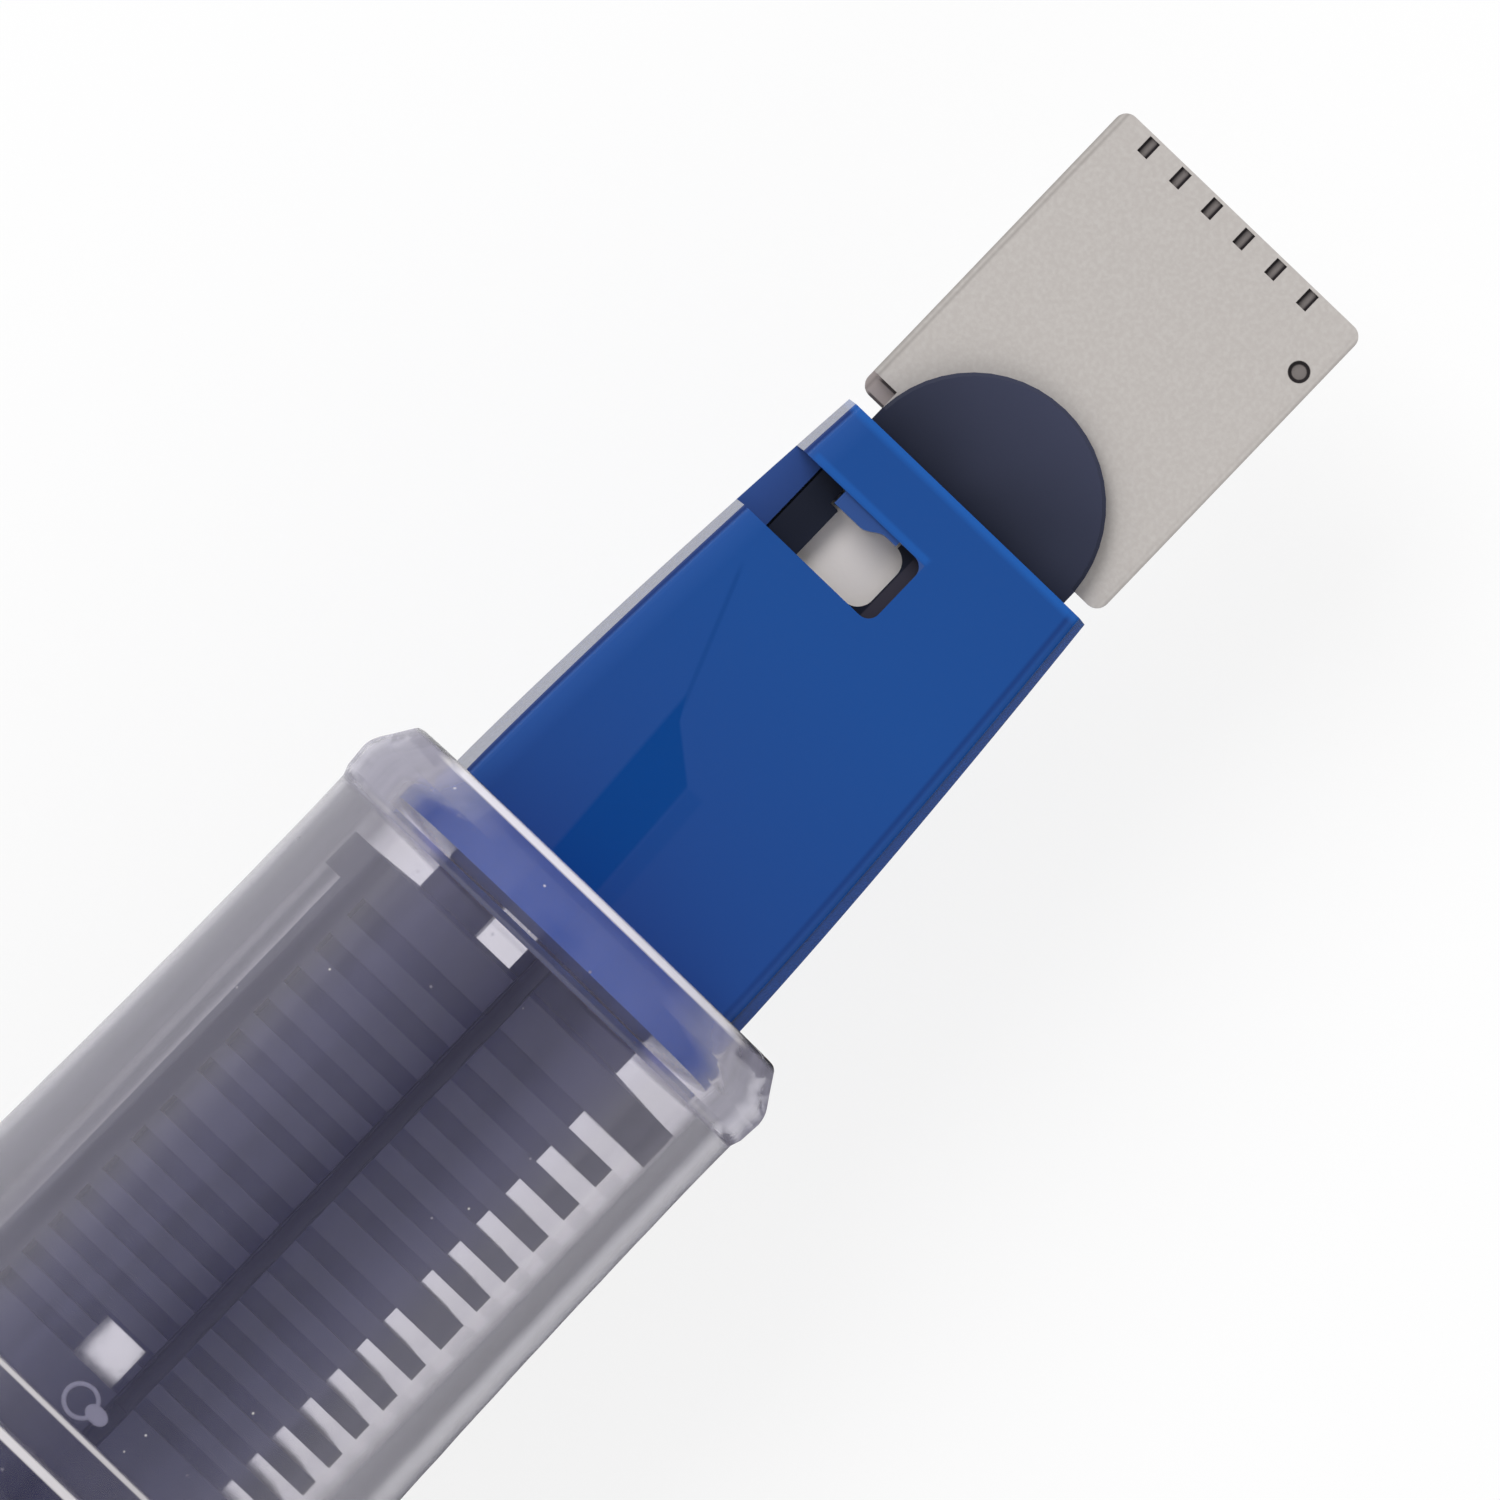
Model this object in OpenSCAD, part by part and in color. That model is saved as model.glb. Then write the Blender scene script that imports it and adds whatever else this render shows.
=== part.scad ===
// Parallel-plate calligraphy pen, uncapped.
// Every module is drawn in the pen's own frame: z is the station, measured from the writing edge
// towards the tail, x is up, through the face of the nib plates, and y is across them.

/* [Pen] */
// Length from the writing edge to the end of the tail
pen_length = 176; // [160:1:200]

/* [Nib plates] */
// Width of each steel plate, which is the broadest stroke of the pen
nib_w = 6.0; // [5.6:0.1:6.6]
// Length of plate in front of the black feed's neck
nib_l = 7.0; // [6:0.1:8]
// Thickness of each plate
plate_t = 0.25; // [0.15:0.01:0.35]
// Capillary gap between the two plates
plate_gap = 0.2; // [0.1:0.01:0.3]
// Radius of the plate's corners
plate_corner_r = 0.25; // [0.1:0.01:0.4]
// Number of stamped ribs along the writing edge of one plate
rib_count = 6; // [4:1:7]
// Distance from one rib to the next on one plate
rib_pitch = 0.8; // [0.6:0.01:0.85]
// Width of a rib
rib_w = 0.24; // [0.15:0.01:0.28]
// Length of a rib
rib_l = 0.36; // [0.2:0.01:0.6]
// Depth of the pit that the dimple leaves in the outer face
pit_depth = 0.12; // [0.05:0.01:0.13]
// Setback of the pits from the writing edge
rib_setback = 0.06; // [0.03:0.01:0.2]
// Radius of the round spacing dimple
dimple_r = 0.22; // [0.15:0.01:0.3]
// Radius of the dimple's flat floor
dimple_floor_r = 0.13; // [0.1:0.01:0.14]
// Setback of the dimple from the writing edge
dimple_setback = 1.29; // [0.9:0.01:2]
// Distance from the plate's side to the middle of the dimple
dimple_inset = 0.4; // [0.35:0.01:0.6]
// Length of the corner notch beside the feed's neck
notch_l = 0.38; // [0.2:0.01:0.6]
// Width of the plate's hidden tang
tang_w = 4.0; // [3.8:0.1:4.4]
// Length of the plate's hidden tang
tang_l = 5.0; // [4:0.1:6]

/* [Feed] */
// Radius of the half-round cheek on each face of the plates
cheek_r = 2.42; // [2.35:0.01:2.6]
// Height of the cheek's face above the middle plane
cheek_h = 0.8; // [0.75:0.01:1]
// Broken edge round the cheek
cheek_edge = 0.07; // [0.03:0.01:0.12]
// Height of the flat strip that carries the ink to the plates
strip_h = 2.2; // [1.6:0.1:2.3]
// Thickness of that strip
strip_t = 0.3; // [0.2:0.01:0.4]
// Radius of the hollow tube that opens the cartridge
nipple_r = 1.95; // [1.7:0.01:2.05]
// Length of that tube behind the section's inner wall
nipple_l = 5.6; // [4.5:0.1:6.5]
// Radius of the tube's bore
nipple_bore_r = 1.3; // [1.25:0.01:1.4]

/* [Nib holder] */
// Gap between the plates and the holder
holder_gap = 0.3; // [0.15:0.01:0.5]
// Length of the holder in front of the section
holder_l = 9.7; // [8:0.1:11]
// Width of the holder at its front edge, across the middle plane
holder_tip_w = 5.93; // [5.7:0.01:6.4]
// Width of the holder at the section, across the middle plane
holder_mouth_w = 7.13; // [6.8:0.01:7.2]
// Thickness of the holder at its front edge
holder_tip_t = 2.8; // [2.5:0.1:3.2]
// Thickness of the holder at the section
holder_mouth_t = 4.4; // [3.8:0.1:4.5]
// Flare of the holder's sides: 1 is straight, 2 bulges
holder_flare = 1.42; // [1:0.02:2]
// Draw of each side wall from the middle plane to the face, at the front edge
holder_tip_draft = 0.13; // [0.05:0.01:0.2]
// Draw of each side wall from the middle plane to the face, at the section
holder_mouth_draft = 0.22; // [0.1:0.01:0.3]
// Width of the rounded band along each edge of the face
holder_band_w = 0.2; // [0.1:0.01:0.3]
// Drop of the rounded band from the face
holder_band_drop = 0.14; // [0.08:0.01:0.2]
// Length of the round plug that seats in the section
holder_plug_l = 1.25; // [0.8:0.01:1.5]
// Setback of the window from the holder's front edge
window_setback = 1.27; // [1:0.01:1.6]
// Length of the window along the pen
window_l = 1.46; // [1.2:0.01:1.8]
// Reach of the window past the middle of the holder
window_reach = 0.13; // [0:0.01:0.3]

/* [Ink collector] */
// Radius of the holder's flange in the section
flange_r = 3.88; // [3.7:0.01:4]
// Radius of the collector's fins
collector_r = 4.01; // [3.8:0.01:4.05]
// Distance across the two flats of the fins
flats_w = 6.7; // [6.5:0.1:7.5]
// Gap between the holder's plug and the solid front disc
collector_neck_l = 0.78; // [0.6:0.01:1.2]
// Thickness of the solid front disc
front_disc_t = 0.93; // [0.6:0.01:1.2]
// Number of slots in the front group and in the rear group
front_slots = 6; // [4:1:7]
rear_slots = 7; // [5:1:8]
// Distance between the first two slots of the front group
front_pitch = 0.87; // [0.85:0.01:0.9]
// Shortening of the front group's pitch from one slot to the next
front_pitch_step = 0.035; // [0.02:0.005:0.04]
// Distance between the first two slots of the rear group
rear_pitch = 0.77; // [0.74:0.01:0.78]
// Shortening of the rear group's pitch from one slot to the next
rear_pitch_step = 0.02; // [0.01:0.005:0.025]
// Share of the pitch that is open slot
slot_share = 0.49; // [0.35:0.01:0.55]
// Thickness of the land between the two groups
group_land = 0.61; // [0.4:0.01:0.8]
// Thickness of the land behind the last slot
rear_land = 0.95; // [0.85:0.01:1.3]
// Reach of the solid core towards the open side of the fins
core_reach = 2.4; // [2.3:0.05:2.9]
// Depth of the fins above the core on the two faces
fin_depth = 0.6; // [0.4:0.05:0.9]
// Side of the square air vent
vent_w = 0.9; // [0.6:0.05:1]

/* [Grip section] */
// Radius of the rolled lip
lip_r = 4.98; // [4.9:0.01:5.3]
// Width and length of the cone from the lip's front edge to its full radius
lip_cone_w = 0.42; // [0.3:0.01:0.5]
lip_cone_l = 0.97; // [0.8:0.01:1.1]
// Radius of the round before the cone and of the round behind it
lip_nose_r = 0.2; // [0.1:0.01:0.3]
lip_roll_r = 0.6; // [0.4:0.01:0.7]
// Radius of the waist behind the lip
waist_r = 4.87; // [4.8:0.01:5.1]
// Radius of the grip at its rear shoulder
shoulder_r = 5.45; // [5.2:0.05:5.6]
// Length of the grip from the lip to the shoulder
grip_l = 19.9; // [19:0.1:24]
// Radius of the front bore
section_bore_r = 4.09; // [4.06:0.01:4.15]
// Thickness of the wall between the two bores
web_t = 0.85; // [0.6:0.05:1.2]
// Length of the threaded spigot that the barrel screws onto
spigot_l = 9.1; // [8:0.1:11]
// Radius of the two plain lands of the spigot
land_r = 4.93; // [4.85:0.01:5]
// Depth of the threaded waist between the lands
thread_relief = 0.33; // [0.2:0.01:0.45]
// Thickness of the trim ring
ring_t = 0.9; // [0.6:0.1:1.4]
// Radius of the trim ring
ring_r = 5.8; // [5.65:0.05:5.85]

/* [Cartridge] */
// Radius of the ink cartridge
cartridge_r = 3.6; // [3.4:0.01:3.62]
// Length of the ink cartridge
cartridge_l = 47; // [42:1:50]
// Wall thickness of the ink cartridge
cartridge_wall = 0.55; // [0.4:0.05:0.7]
// Length of the cartridge's neck bore
cartridge_neck_l = 4.0; // [3.5:0.1:5]
// Radius of the pushed-in seal disc
seal_r = 1.9; // [1.7:0.05:2]
// Thickness of the seal disc
seal_t = 0.8; // [0.5:0.1:1]

/* [Barrel] */
// Radius of the spigot that the cap screws onto
cap_spigot_r = 5.9; // [5.88:0.01:6.1]
// Length of that spigot
cap_spigot_l = 7.6; // [6:0.1:9]
// Radius of the barrel's straight band
band_r = 7.0; // [6.8:0.05:7.5]
// Length of the barrel's straight band
band_l = 11; // [9:1:14]
// Radius of the barrel at its end
tail_r = 2.9; // [2.7:0.05:3.3]
// Wall thickness of the barrel
barrel_wall = 1.2; // [1:0.05:1.3]
// How strongly the taper hollows towards the tail: 1 is a straight cone
taper_power = 1.2; // [1:0.05:1.3]
// Length of the solid tail behind the barrel's hollow
solid_tail_l = 24; // [20:1:30]
// Length of the rounded end plug
plug_l = 4; // [3:0.1:5]
// Radius of the plug's stem
plug_stem_r = 1.2; // [0.9:0.05:1.4]
// Length of the plug's stem
plug_stem_l = 6; // [4:0.5:8]

/* [Fits] */
// Running clearance of pieces that slide or turn
running_gap = 0.05; // [0.03:0.01:0.08]
// Clearance of fixed pieces round the feed
fixed_gap = 0.03; // [0.02:0.01:0.05]

/* [Hidden] */
$fn = 96;
eps = 0.01;

// Small fixed sizes of the mouldings
cartridge_seat = 0.85;
holder_band_from = 25;
flange_setback = 0.2;
flange_cone = 0.13;
window_corner_r = 0.25;
pocket_corner_r = 0.36;
pocket_setback = 0.09;
pocket_outer_y = 1.7;
tongue_outer_y = 1.85;
tongue_inner_y = 0.5;
tongue_drop = 0.3;
tongue_root = 0.25;
tongue_lift = 0.1;
tongue_bend_y = 1.2;
tongue_bend_l = 0.45;
tongue_heel = 0.1;
tongue_steps = 8;
spine_w = 0.5;
post_t = 1.5;
post_a = [1.1, 2.4];
post_b = [-2.4, 0.25];
vent_y = 0.63;
nipple_socket_l = 0.8;
nipple_collar_h = 0.25;
nipple_tip_l = 0.6;
nipple_tip_drop = 0.35;
rear_bore_gap = 0.12;
seal_setback = 16;
strip_setback = 1;
waist_setback = 2.2;
lip_end_chamfer = 0.2;
lip_draft = 0.03;
spigot_chamfer = 0.3;
ring_edge = 0.15;
barrel_edge = 0.2;
barrel_step = 1;
barrel_fillet = 0.4;
land_l = 1.2;
cartridge_chamfer = 0.4;
cartridge_end_round = 1.4;
shoulder_l = 0.7;
lip_length = 1.6;
corner_l = 0.1;
corner_w = 0.28;
web_gap = 0.1;
taper_steps = 24;
grip_steps = 12;
loft_steps = 16;
band_steps = 4;
far = 20;

// Stations along the pen, from the writing edge
cheek_z = nib_l + holder_gap / 2;
holder_z = nib_l + holder_gap;
mouth_z = holder_z + holder_l;
plug_end_z = mouth_z + holder_plug_l;
collector_z = plug_end_z + fixed_gap;
disc_z = collector_z + collector_neck_l;
first_slot_z = disc_z + front_disc_t;
second_group_z = slot_end(front_slots - 1, first_slot_z, front_pitch, front_pitch_step) + group_land;
last_slot_end_z = slot_end(rear_slots - 1, second_group_z, rear_pitch, rear_pitch_step);
collector_end_z = last_slot_end_z + rear_land;
web_z = collector_end_z + web_gap;
web_end_z = web_z + web_t;
shoulder_z = mouth_z + grip_l;
spigot_end_z = shoulder_z + spigot_l;
ring_z = shoulder_z + running_gap;
barrel_z = ring_z + ring_t + running_gap;
band_z = barrel_z + cap_spigot_l;
taper_z = band_z + band_l;
tail_z = pen_length - plug_l;
hollow_end_z = tail_z - solid_tail_l;
cartridge_z = web_end_z + cartridge_seat;
cartridge_end_z = cartridge_z + cartridge_l;
nipple_end_z = web_end_z + nipple_l;
tang_end_z = nib_l + tang_l;

// Heights above the middle plane of the nib
plate_x = plate_gap / 2;
plate_top_x = plate_x + plate_t;

cavity_half_w = cheek_r + running_gap;
cavity_half_t = cheek_h + running_gap;
pocket_inner_y = window_reach;
window_z = holder_z + window_setback;
window_end_z = window_z + window_l;
nipple_collar_r = nipple_r + nipple_collar_h;
rear_bore_r = cartridge_r + rear_bore_gap;
seal_z = cartridge_z + seal_setback;
waist_z = mouth_z + waist_setback;

/* Frame and shared shapes */

// Puts the pen's own frame in the part's frame: the writing edge at +X, the plates' face up
module pen_frame() {
    translate([pen_length / 2, 0, 0]) rotate([0, -90, 0]) children();
}

// Extrudes an outline drawn in (y, z) upwards from height x
module slab(x, thickness) {
    translate([x, 0, 0]) rotate([90, 0, 90]) linear_extrude(thickness) children();
}

// The same piece on the other face of the nib
module other_face() {
    rotate([0, 0, 180]) children();
}

// Straight block from one station to another
module block(x, y, z) {
    translate([x[0], y[0], z[0]]) cube([x[1] - x[0], y[1] - y[0], z[1] - z[0]]);
}

// Plain cylinder on the pen's axis from one station to another
module rod(radius, z) {
    translate([0, 0, z[0]]) cylinder(r = radius, h = z[1] - z[0]);
}

// Outline of a rectangle with four equal round corners
module round_rect(y, z, radius) {
    translate([y[0] + radius, z[0]]) square([y[1] - y[0] - 2 * radius, z[1] - z[0]]);
    translate([y[0], z[0] + radius]) square([y[1] - y[0], z[1] - z[0] - 2 * radius]);
    for (cy = [y[0] + radius, y[1] - radius], cz = [z[0] + radius, z[1] - radius]) {
        translate([cy, cz]) circle(r = radius);
    }
}

// Rounded band in one quarter of the holder's section, from its face to its side wall
function band_points(half_t, half_w, draft) = [
    for (step = [0 : band_steps])
        let (angle = 90 + (holder_band_from - 90) * step / band_steps)
        [
            half_t - holder_band_drop * (1 - sin(angle)),
            half_w - draft - holder_band_w * (1 - cos(angle))
        ]
];

// One ring of points round the holder's section at station z
function ring_points(half_t, half_w, draft, z) =
    let (
        band = band_points(half_t, half_w, draft),
        last = len(band) - 1
    )
    concat(
        [for (k = [0 : last]) [band[k][0], band[k][1], z]],
        [[0, half_w, z]],
        [for (k = [last : -1 : 0]) [-band[k][0], band[k][1], z]],
        [for (k = [0 : last]) [-band[k][0], -band[k][1], z]],
        [[0, -half_w, z]],
        [for (k = [last : -1 : 0]) [band[k][0], -band[k][1], z]]
    );

// Closed skin over rings of equal point count
module skin(rings) {
    count = len(rings[0]);
    last = len(rings) - 1;
    points = [for (one_ring = rings) each one_ring];
    sides = [
        for (k = [0 : last - 1], i = [0 : count - 1])
            let (j = (i + 1) % count, a = k * count, b = a + count)
            each [[a + i, b + i, b + j], [a + i, b + j, a + j]]
    ];
    front_cap = [[for (i = [0 : count - 1]) i]];
    rear_cap = [[for (i = [count - 1 : -1 : 0]) last * count + i]];
    polyhedron(points = points, faces = concat(front_cap, sides, rear_cap));
}

/* Nib plates */

// Offset of rib number i from the middle of the plate
function rib_y(i) = (i - (rib_count - 1) / 2) * rib_pitch + rib_pitch / 4;

dimple_y = dimple_inset - nib_w / 2;

module plate_outline() {
    half_w = nib_w / 2;
    difference() {
        round_rect([-half_w, half_w], [0, nib_l], plate_corner_r);
        translate([cheek_r, nib_l - notch_l]) square([half_w, notch_l + eps]);
    }
    translate([-tang_w / 2, nib_l - 1]) square([tang_w, tang_l + 1]);
}

// Outlines of the ribs and of the dimple
module stamping_outline() {
    for (i = [0 : rib_count - 1]) {
        translate([rib_y(i) - rib_w / 2, rib_setback]) square([rib_w, rib_l]);
    }
    translate([dimple_y, dimple_setback]) circle(r = dimple_r);
}

// Pits in the outer face: half-round behind the ribs, cone-walled behind the dimple
module pits() {
    for (i = [0 : rib_count - 1]) {
        translate([plate_top_x, rib_y(i), rib_setback]) cylinder(r = rib_w / 2, h = rib_l);
    }
    translate([plate_top_x - pit_depth, dimple_y, dimple_setback])
        rotate([0, 90, 0]) cylinder(r1 = dimple_floor_r, r2 = dimple_r, h = pit_depth + eps);
}

module nib_plate() {
    stamp_h = plate_gap - 2 * eps;
    color("silver") {
        difference() {
            slab(plate_x, plate_t) plate_outline();
            pits();
        }
        slab(plate_x - stamp_h, stamp_h + eps) stamping_outline();
    }
}

/* Feed */

// Half-round cheek with its broken edge
module cheek() {
    edge_x = cheek_h - cheek_edge;
    translate([0, 0, cheek_z]) rotate([0, 90, 0]) {
        translate([0, 0, plate_top_x]) cylinder(r = cheek_r, h = edge_x - plate_top_x);
        translate([0, 0, edge_x]) cylinder(r1 = cheek_r, r2 = cheek_r - cheek_edge, h = cheek_edge);
    }
}

module pocket_outline() {
    pocket_z = window_z + pocket_setback;
    round_rect([pocket_inner_y, pocket_outer_y], [pocket_z, window_end_z], pocket_corner_r);
    translate([pocket_outer_y / 2, pocket_z]) square([pocket_outer_y / 2, window_end_z - pocket_z]);
    translate([tongue_inner_y - running_gap, window_z - tongue_root - running_gap])
        square([
            tongue_outer_y - tongue_inner_y + 2 * running_gap,
            tongue_root + tongue_drop + 2 * running_gap
        ]);
}

// One moulded half of the black feed, above the middle plane
module feed_half() {
    strip_edge = strip_t + fixed_gap;
    color("#232a3c") difference() {
        union() {
            intersection() {
                cheek();
                block([0, cheek_h], [-cheek_r, cheek_r], [0, cheek_z]);
            }
            block([0, cheek_h], [-cheek_r, cheek_r], [nib_l, plug_end_z]);
        }
        block(
            [-eps, plate_top_x],
            [-tang_w / 2 - fixed_gap, tang_w / 2 + fixed_gap],
            [nib_l - eps, tang_end_z + fixed_gap]
        );
        slab(plate_top_x - eps, cheek_h) pocket_outline();
        block([-eps, far], [-strip_edge, strip_edge], [tang_end_z, far]);
    }
}

// Thin bar on edge that leads the ink from the cartridge to the gap between the plates
module feed_strip() {
    half_h = min(strip_h / 2, cheek_h);
    color("#181c28") {
        block([-half_h, half_h], [-strip_t, 0], [tang_end_z + fixed_gap, collector_z]);
        block([-strip_h / 2, strip_h / 2], [-strip_t, 0], [collector_z - eps, nipple_end_z - strip_setback]);
    }
}

// Tube that passes the section's inner wall and enters the cartridge
module cartridge_nipple() {
    color("#181c28") difference() {
        union() {
            rod(nipple_r, [collector_end_z - nipple_socket_l + fixed_gap, nipple_end_z - nipple_tip_l]);
            rod(nipple_collar_r, [web_z, web_end_z]);
            translate([0, 0, nipple_end_z - nipple_tip_l])
                cylinder(r1 = nipple_r, r2 = nipple_r - nipple_tip_drop, h = nipple_tip_l);
        }
        rod(nipple_bore_r, [0, far * 3]);
    }
}

/* Nib holder */

// Share of the way from the holder's tip width to its mouth width, at t from 0 to 1
function flare(t) = 1 - pow(1 - t, holder_flare);

function holder_ring(t) = ring_points(
    (holder_tip_t + (holder_mouth_t - holder_tip_t) * t) / 2,
    (holder_tip_w + (holder_mouth_w - holder_tip_w) * flare(t)) / 2,
    holder_tip_draft + (holder_mouth_draft - holder_tip_draft) * t,
    holder_z + (holder_l + flange_setback + eps) * t
);

// Window through one face and the upper half of one side wall
module holder_window() {
    slab(0, far) round_rect([-window_reach, far], [window_z, window_end_z], window_corner_r);
}

// Snap tongue that hooks into the feed's pocket behind the window's front edge
module holder_tongue() {
    root_z = window_z - tongue_root;
    slab(plate_top_x + tongue_lift, holder_tip_t / 2 - plate_top_x - tongue_lift)
        polygon(concat(
            [[tongue_inner_y, root_z], [tongue_outer_y, root_z], [tongue_outer_y, window_z + tongue_drop]],
            [
                for (k = [0 : tongue_steps])
                    let (t = k / tongue_steps)
                    [
                        tongue_bend_y - tongue_bend_l * t,
                        window_z + tongue_drop - (tongue_drop - tongue_heel) * t * t * (3 - 2 * t)
                    ]
            ],
            [[tongue_inner_y, window_z + tongue_heel]]
        ));
}

module nib_holder() {
    color("#244c92") {
        difference() {
            union() {
                skin([for (k = [0 : loft_steps]) holder_ring(k / loft_steps)]);
                rod(flange_r, [mouth_z + flange_setback, plug_end_z - flange_cone]);
                translate([0, 0, plug_end_z - flange_cone])
                    cylinder(r1 = flange_r, r2 = cavity_half_w + flange_cone, h = flange_cone);
            }
            block(
                [-cavity_half_t, cavity_half_t],
                [-cavity_half_w, cavity_half_w],
                [holder_z - 1, plug_end_z + 1]
            );
            holder_window();
            other_face() holder_window();
        }
        holder_tongue();
        other_face() holder_tongue();
    }
}

/* Ink collector */

// Start and end of slot number i in a group whose pitch shortens evenly
function slot_start(i, z, pitch, step) = z + i * pitch - step * i * (i - 1) / 2;
function slot_end(i, z, pitch, step) = slot_start(i, z, pitch, step) + slot_share * (pitch - step * i);

// Stations of the solid fins between the slots of one group, the rear land included
function fins_of(count, z, pitch, step, land) = [
    for (i = [0 : count - 1])
        [
            slot_end(i, z, pitch, step),
            i < count - 1 ? slot_start(i + 1, z, pitch, step) : slot_end(i, z, pitch, step) + land
        ]
];

module fin_outline() {
    intersection() {
        circle(r = collector_r);
        square([2 * collector_r, flats_w], center = true);
    }
}

// Solid heart of the comb, open to one side, with a spine that ties the fins on the other
module core_outline() {
    intersection() {
        fin_outline();
        union() {
            intersection() {
                circle(r = collector_r - fin_depth);
                translate([-far / 2, -core_reach]) square([far, far]);
            }
            translate([-far / 2, flats_w / 2 - spine_w]) square([far, spine_w]);
        }
    }
}

module ink_collector() {
    fins = concat(
        fins_of(front_slots, first_slot_z, front_pitch, front_pitch_step, group_land),
        fins_of(rear_slots, second_group_z, rear_pitch, rear_pitch_step, rear_land)
    );
    color("#232a3c") difference() {
        union() {
            for (post = [post_a, post_b]) {
                block([-post_t, post_t], post, [collector_z, disc_z + eps]);
            }
            translate([0, 0, disc_z])
                cylinder(r1 = cheek_r, r2 = collector_r, h = flange_cone);
            rod(collector_r, [disc_z + flange_cone, first_slot_z]);
            translate([0, 0, first_slot_z - eps])
                linear_extrude(last_slot_end_z - first_slot_z + 2 * eps) core_outline();
            for (fin = fins) {
                translate([0, 0, fin[0]]) linear_extrude(fin[1] - fin[0]) fin_outline();
            }
        }
        block(
            [-strip_h / 2 - fixed_gap, far],
            [-strip_t - fixed_gap, fixed_gap],
            [collector_z - 1, collector_end_z + 1]
        );
        block(
            [-far, far],
            [vent_y - vent_w / 2, vent_y + vent_w / 2],
            [last_slot_end_z - vent_w + eps, last_slot_end_z + eps]
        );
        rod(nipple_r + fixed_gap, [collector_end_z - nipple_socket_l, collector_end_z + 1]);
    }
}

/* Grip section */

// Radius of the grip behind its waist
function grip_radius(t) = waist_r + (shoulder_r - waist_r) * t * t;

module section_outline() {
    nose = [lip_r - lip_cone_w - lip_nose_r, mouth_z + lip_nose_r];
    roll = [lip_r - lip_roll_r, mouth_z + lip_cone_l];
    run = roll - nose;
    lean = atan2(run[0], run[1]) + asin((lip_roll_r - lip_nose_r) / norm(run));
    normal = [cos(lean), -sin(lean)];
    shoulder_start_z = shoulder_z - shoulder_l;
    difference() {
        union() {
            translate(nose) circle(r = lip_nose_r);
            translate(roll) circle(r = lip_roll_r);
            polygon(concat(
                [
                    [0, mouth_z],
                    [nose[0], mouth_z],
                    nose + lip_nose_r * normal,
                    roll + lip_roll_r * normal,
                    [lip_r, roll[1]],
                    [lip_r - lip_draft, mouth_z + lip_length - lip_end_chamfer],
                    [waist_r + eps, mouth_z + lip_length]
                ],
                [
                    for (k = [0 : grip_steps])
                        let (t = k / grip_steps)
                        [grip_radius(t), waist_z + (shoulder_start_z - waist_z) * t]
                ],
                [
                    [shoulder_r, shoulder_z],
                    [land_r, shoulder_z],
                    [land_r, barrel_z + land_l],
                    [land_r - thread_relief, barrel_z + land_l + thread_relief],
                    [land_r - thread_relief, spigot_end_z - land_l - thread_relief],
                    [land_r, spigot_end_z - land_l],
                    [land_r, spigot_end_z - spigot_chamfer],
                    [land_r - spigot_chamfer, spigot_end_z],
                    [0, spigot_end_z]
                ]
            ));
        }
        polygon([
            [-1, mouth_z - 1],
            [section_bore_r + corner_w, mouth_z - 1],
            [section_bore_r + corner_w, mouth_z],
            [section_bore_r, mouth_z + corner_l],
            [section_bore_r, web_z - corner_l + eps],
            [section_bore_r - corner_w, web_z],
            [-1, web_z]
        ]);
        translate([-1, web_z - 1]) square([nipple_collar_r + fixed_gap + 1, web_t + 2]);
        polygon([
            [-1, web_end_z],
            [rear_bore_r - corner_w, web_end_z],
            [rear_bore_r, web_end_z + corner_l],
            [rear_bore_r, spigot_end_z + 1],
            [-1, spigot_end_z + 1]
        ]);
    }
}

module grip_section() {
    color("#b9bcc8", 0.5) rotate_extrude() section_outline();
}

// Trim ring trapped between the section and the barrel
module section_ring() {
    color("#244c92") rotate_extrude() polygon([
        [land_r + running_gap, ring_z],
        [ring_r - ring_edge, ring_z],
        [ring_r, ring_z + ring_edge],
        [ring_r, ring_z + ring_t - ring_edge],
        [ring_r - ring_edge, ring_z + ring_t],
        [land_r + running_gap, ring_z + ring_t]
    ]);
}

/* Ink cartridge */

module cartridge_body() {
    neck_r = nipple_r + running_gap;
    bore_r = cartridge_r - cartridge_wall;
    neck_end_z = cartridge_z + cartridge_neck_l;
    round_z = cartridge_end_z - cartridge_end_round;
    color("#3a4260", 0.8) rotate_extrude() difference() {
        union() {
            polygon([
                [0, cartridge_z],
                [cartridge_r - cartridge_chamfer, cartridge_z],
                [cartridge_r, cartridge_z + cartridge_chamfer],
                [cartridge_r, round_z],
                [cartridge_r - cartridge_end_round, round_z],
                [cartridge_r - cartridge_end_round, cartridge_end_z],
                [0, cartridge_end_z]
            ]);
            translate([cartridge_r - cartridge_end_round, round_z]) circle(r = cartridge_end_round);
        }
        polygon([
            [-1, cartridge_z - 1],
            [neck_r, cartridge_z - 1],
            [neck_r, neck_end_z],
            [bore_r, neck_end_z + bore_r - neck_r],
            [bore_r, round_z],
            [bore_r - 1, cartridge_end_z - cartridge_wall],
            [-1, cartridge_end_z - cartridge_wall]
        ]);
    }
}

// Disc that the nipple has pushed into the cartridge, lying on its lower wall
module cartridge_seal_disc() {
    bore_r = cartridge_r - cartridge_wall;
    rest_x = -sqrt(bore_r * bore_r - seal_r * seal_r) + eps;
    color("#d8d8dc") translate([rest_x, 0, seal_z]) rotate([0, 90, 0]) cylinder(r = seal_r, h = seal_t);
}

/* Barrel */

// Radius of the barrel's taper at t from 0, the band, to 1, the tail
function taper_radius(t) = tail_r + (band_r - tail_r) * pow(1 - t, taper_power);
function taper_share(z) = (z - taper_z) / (tail_z - taper_z);

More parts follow.
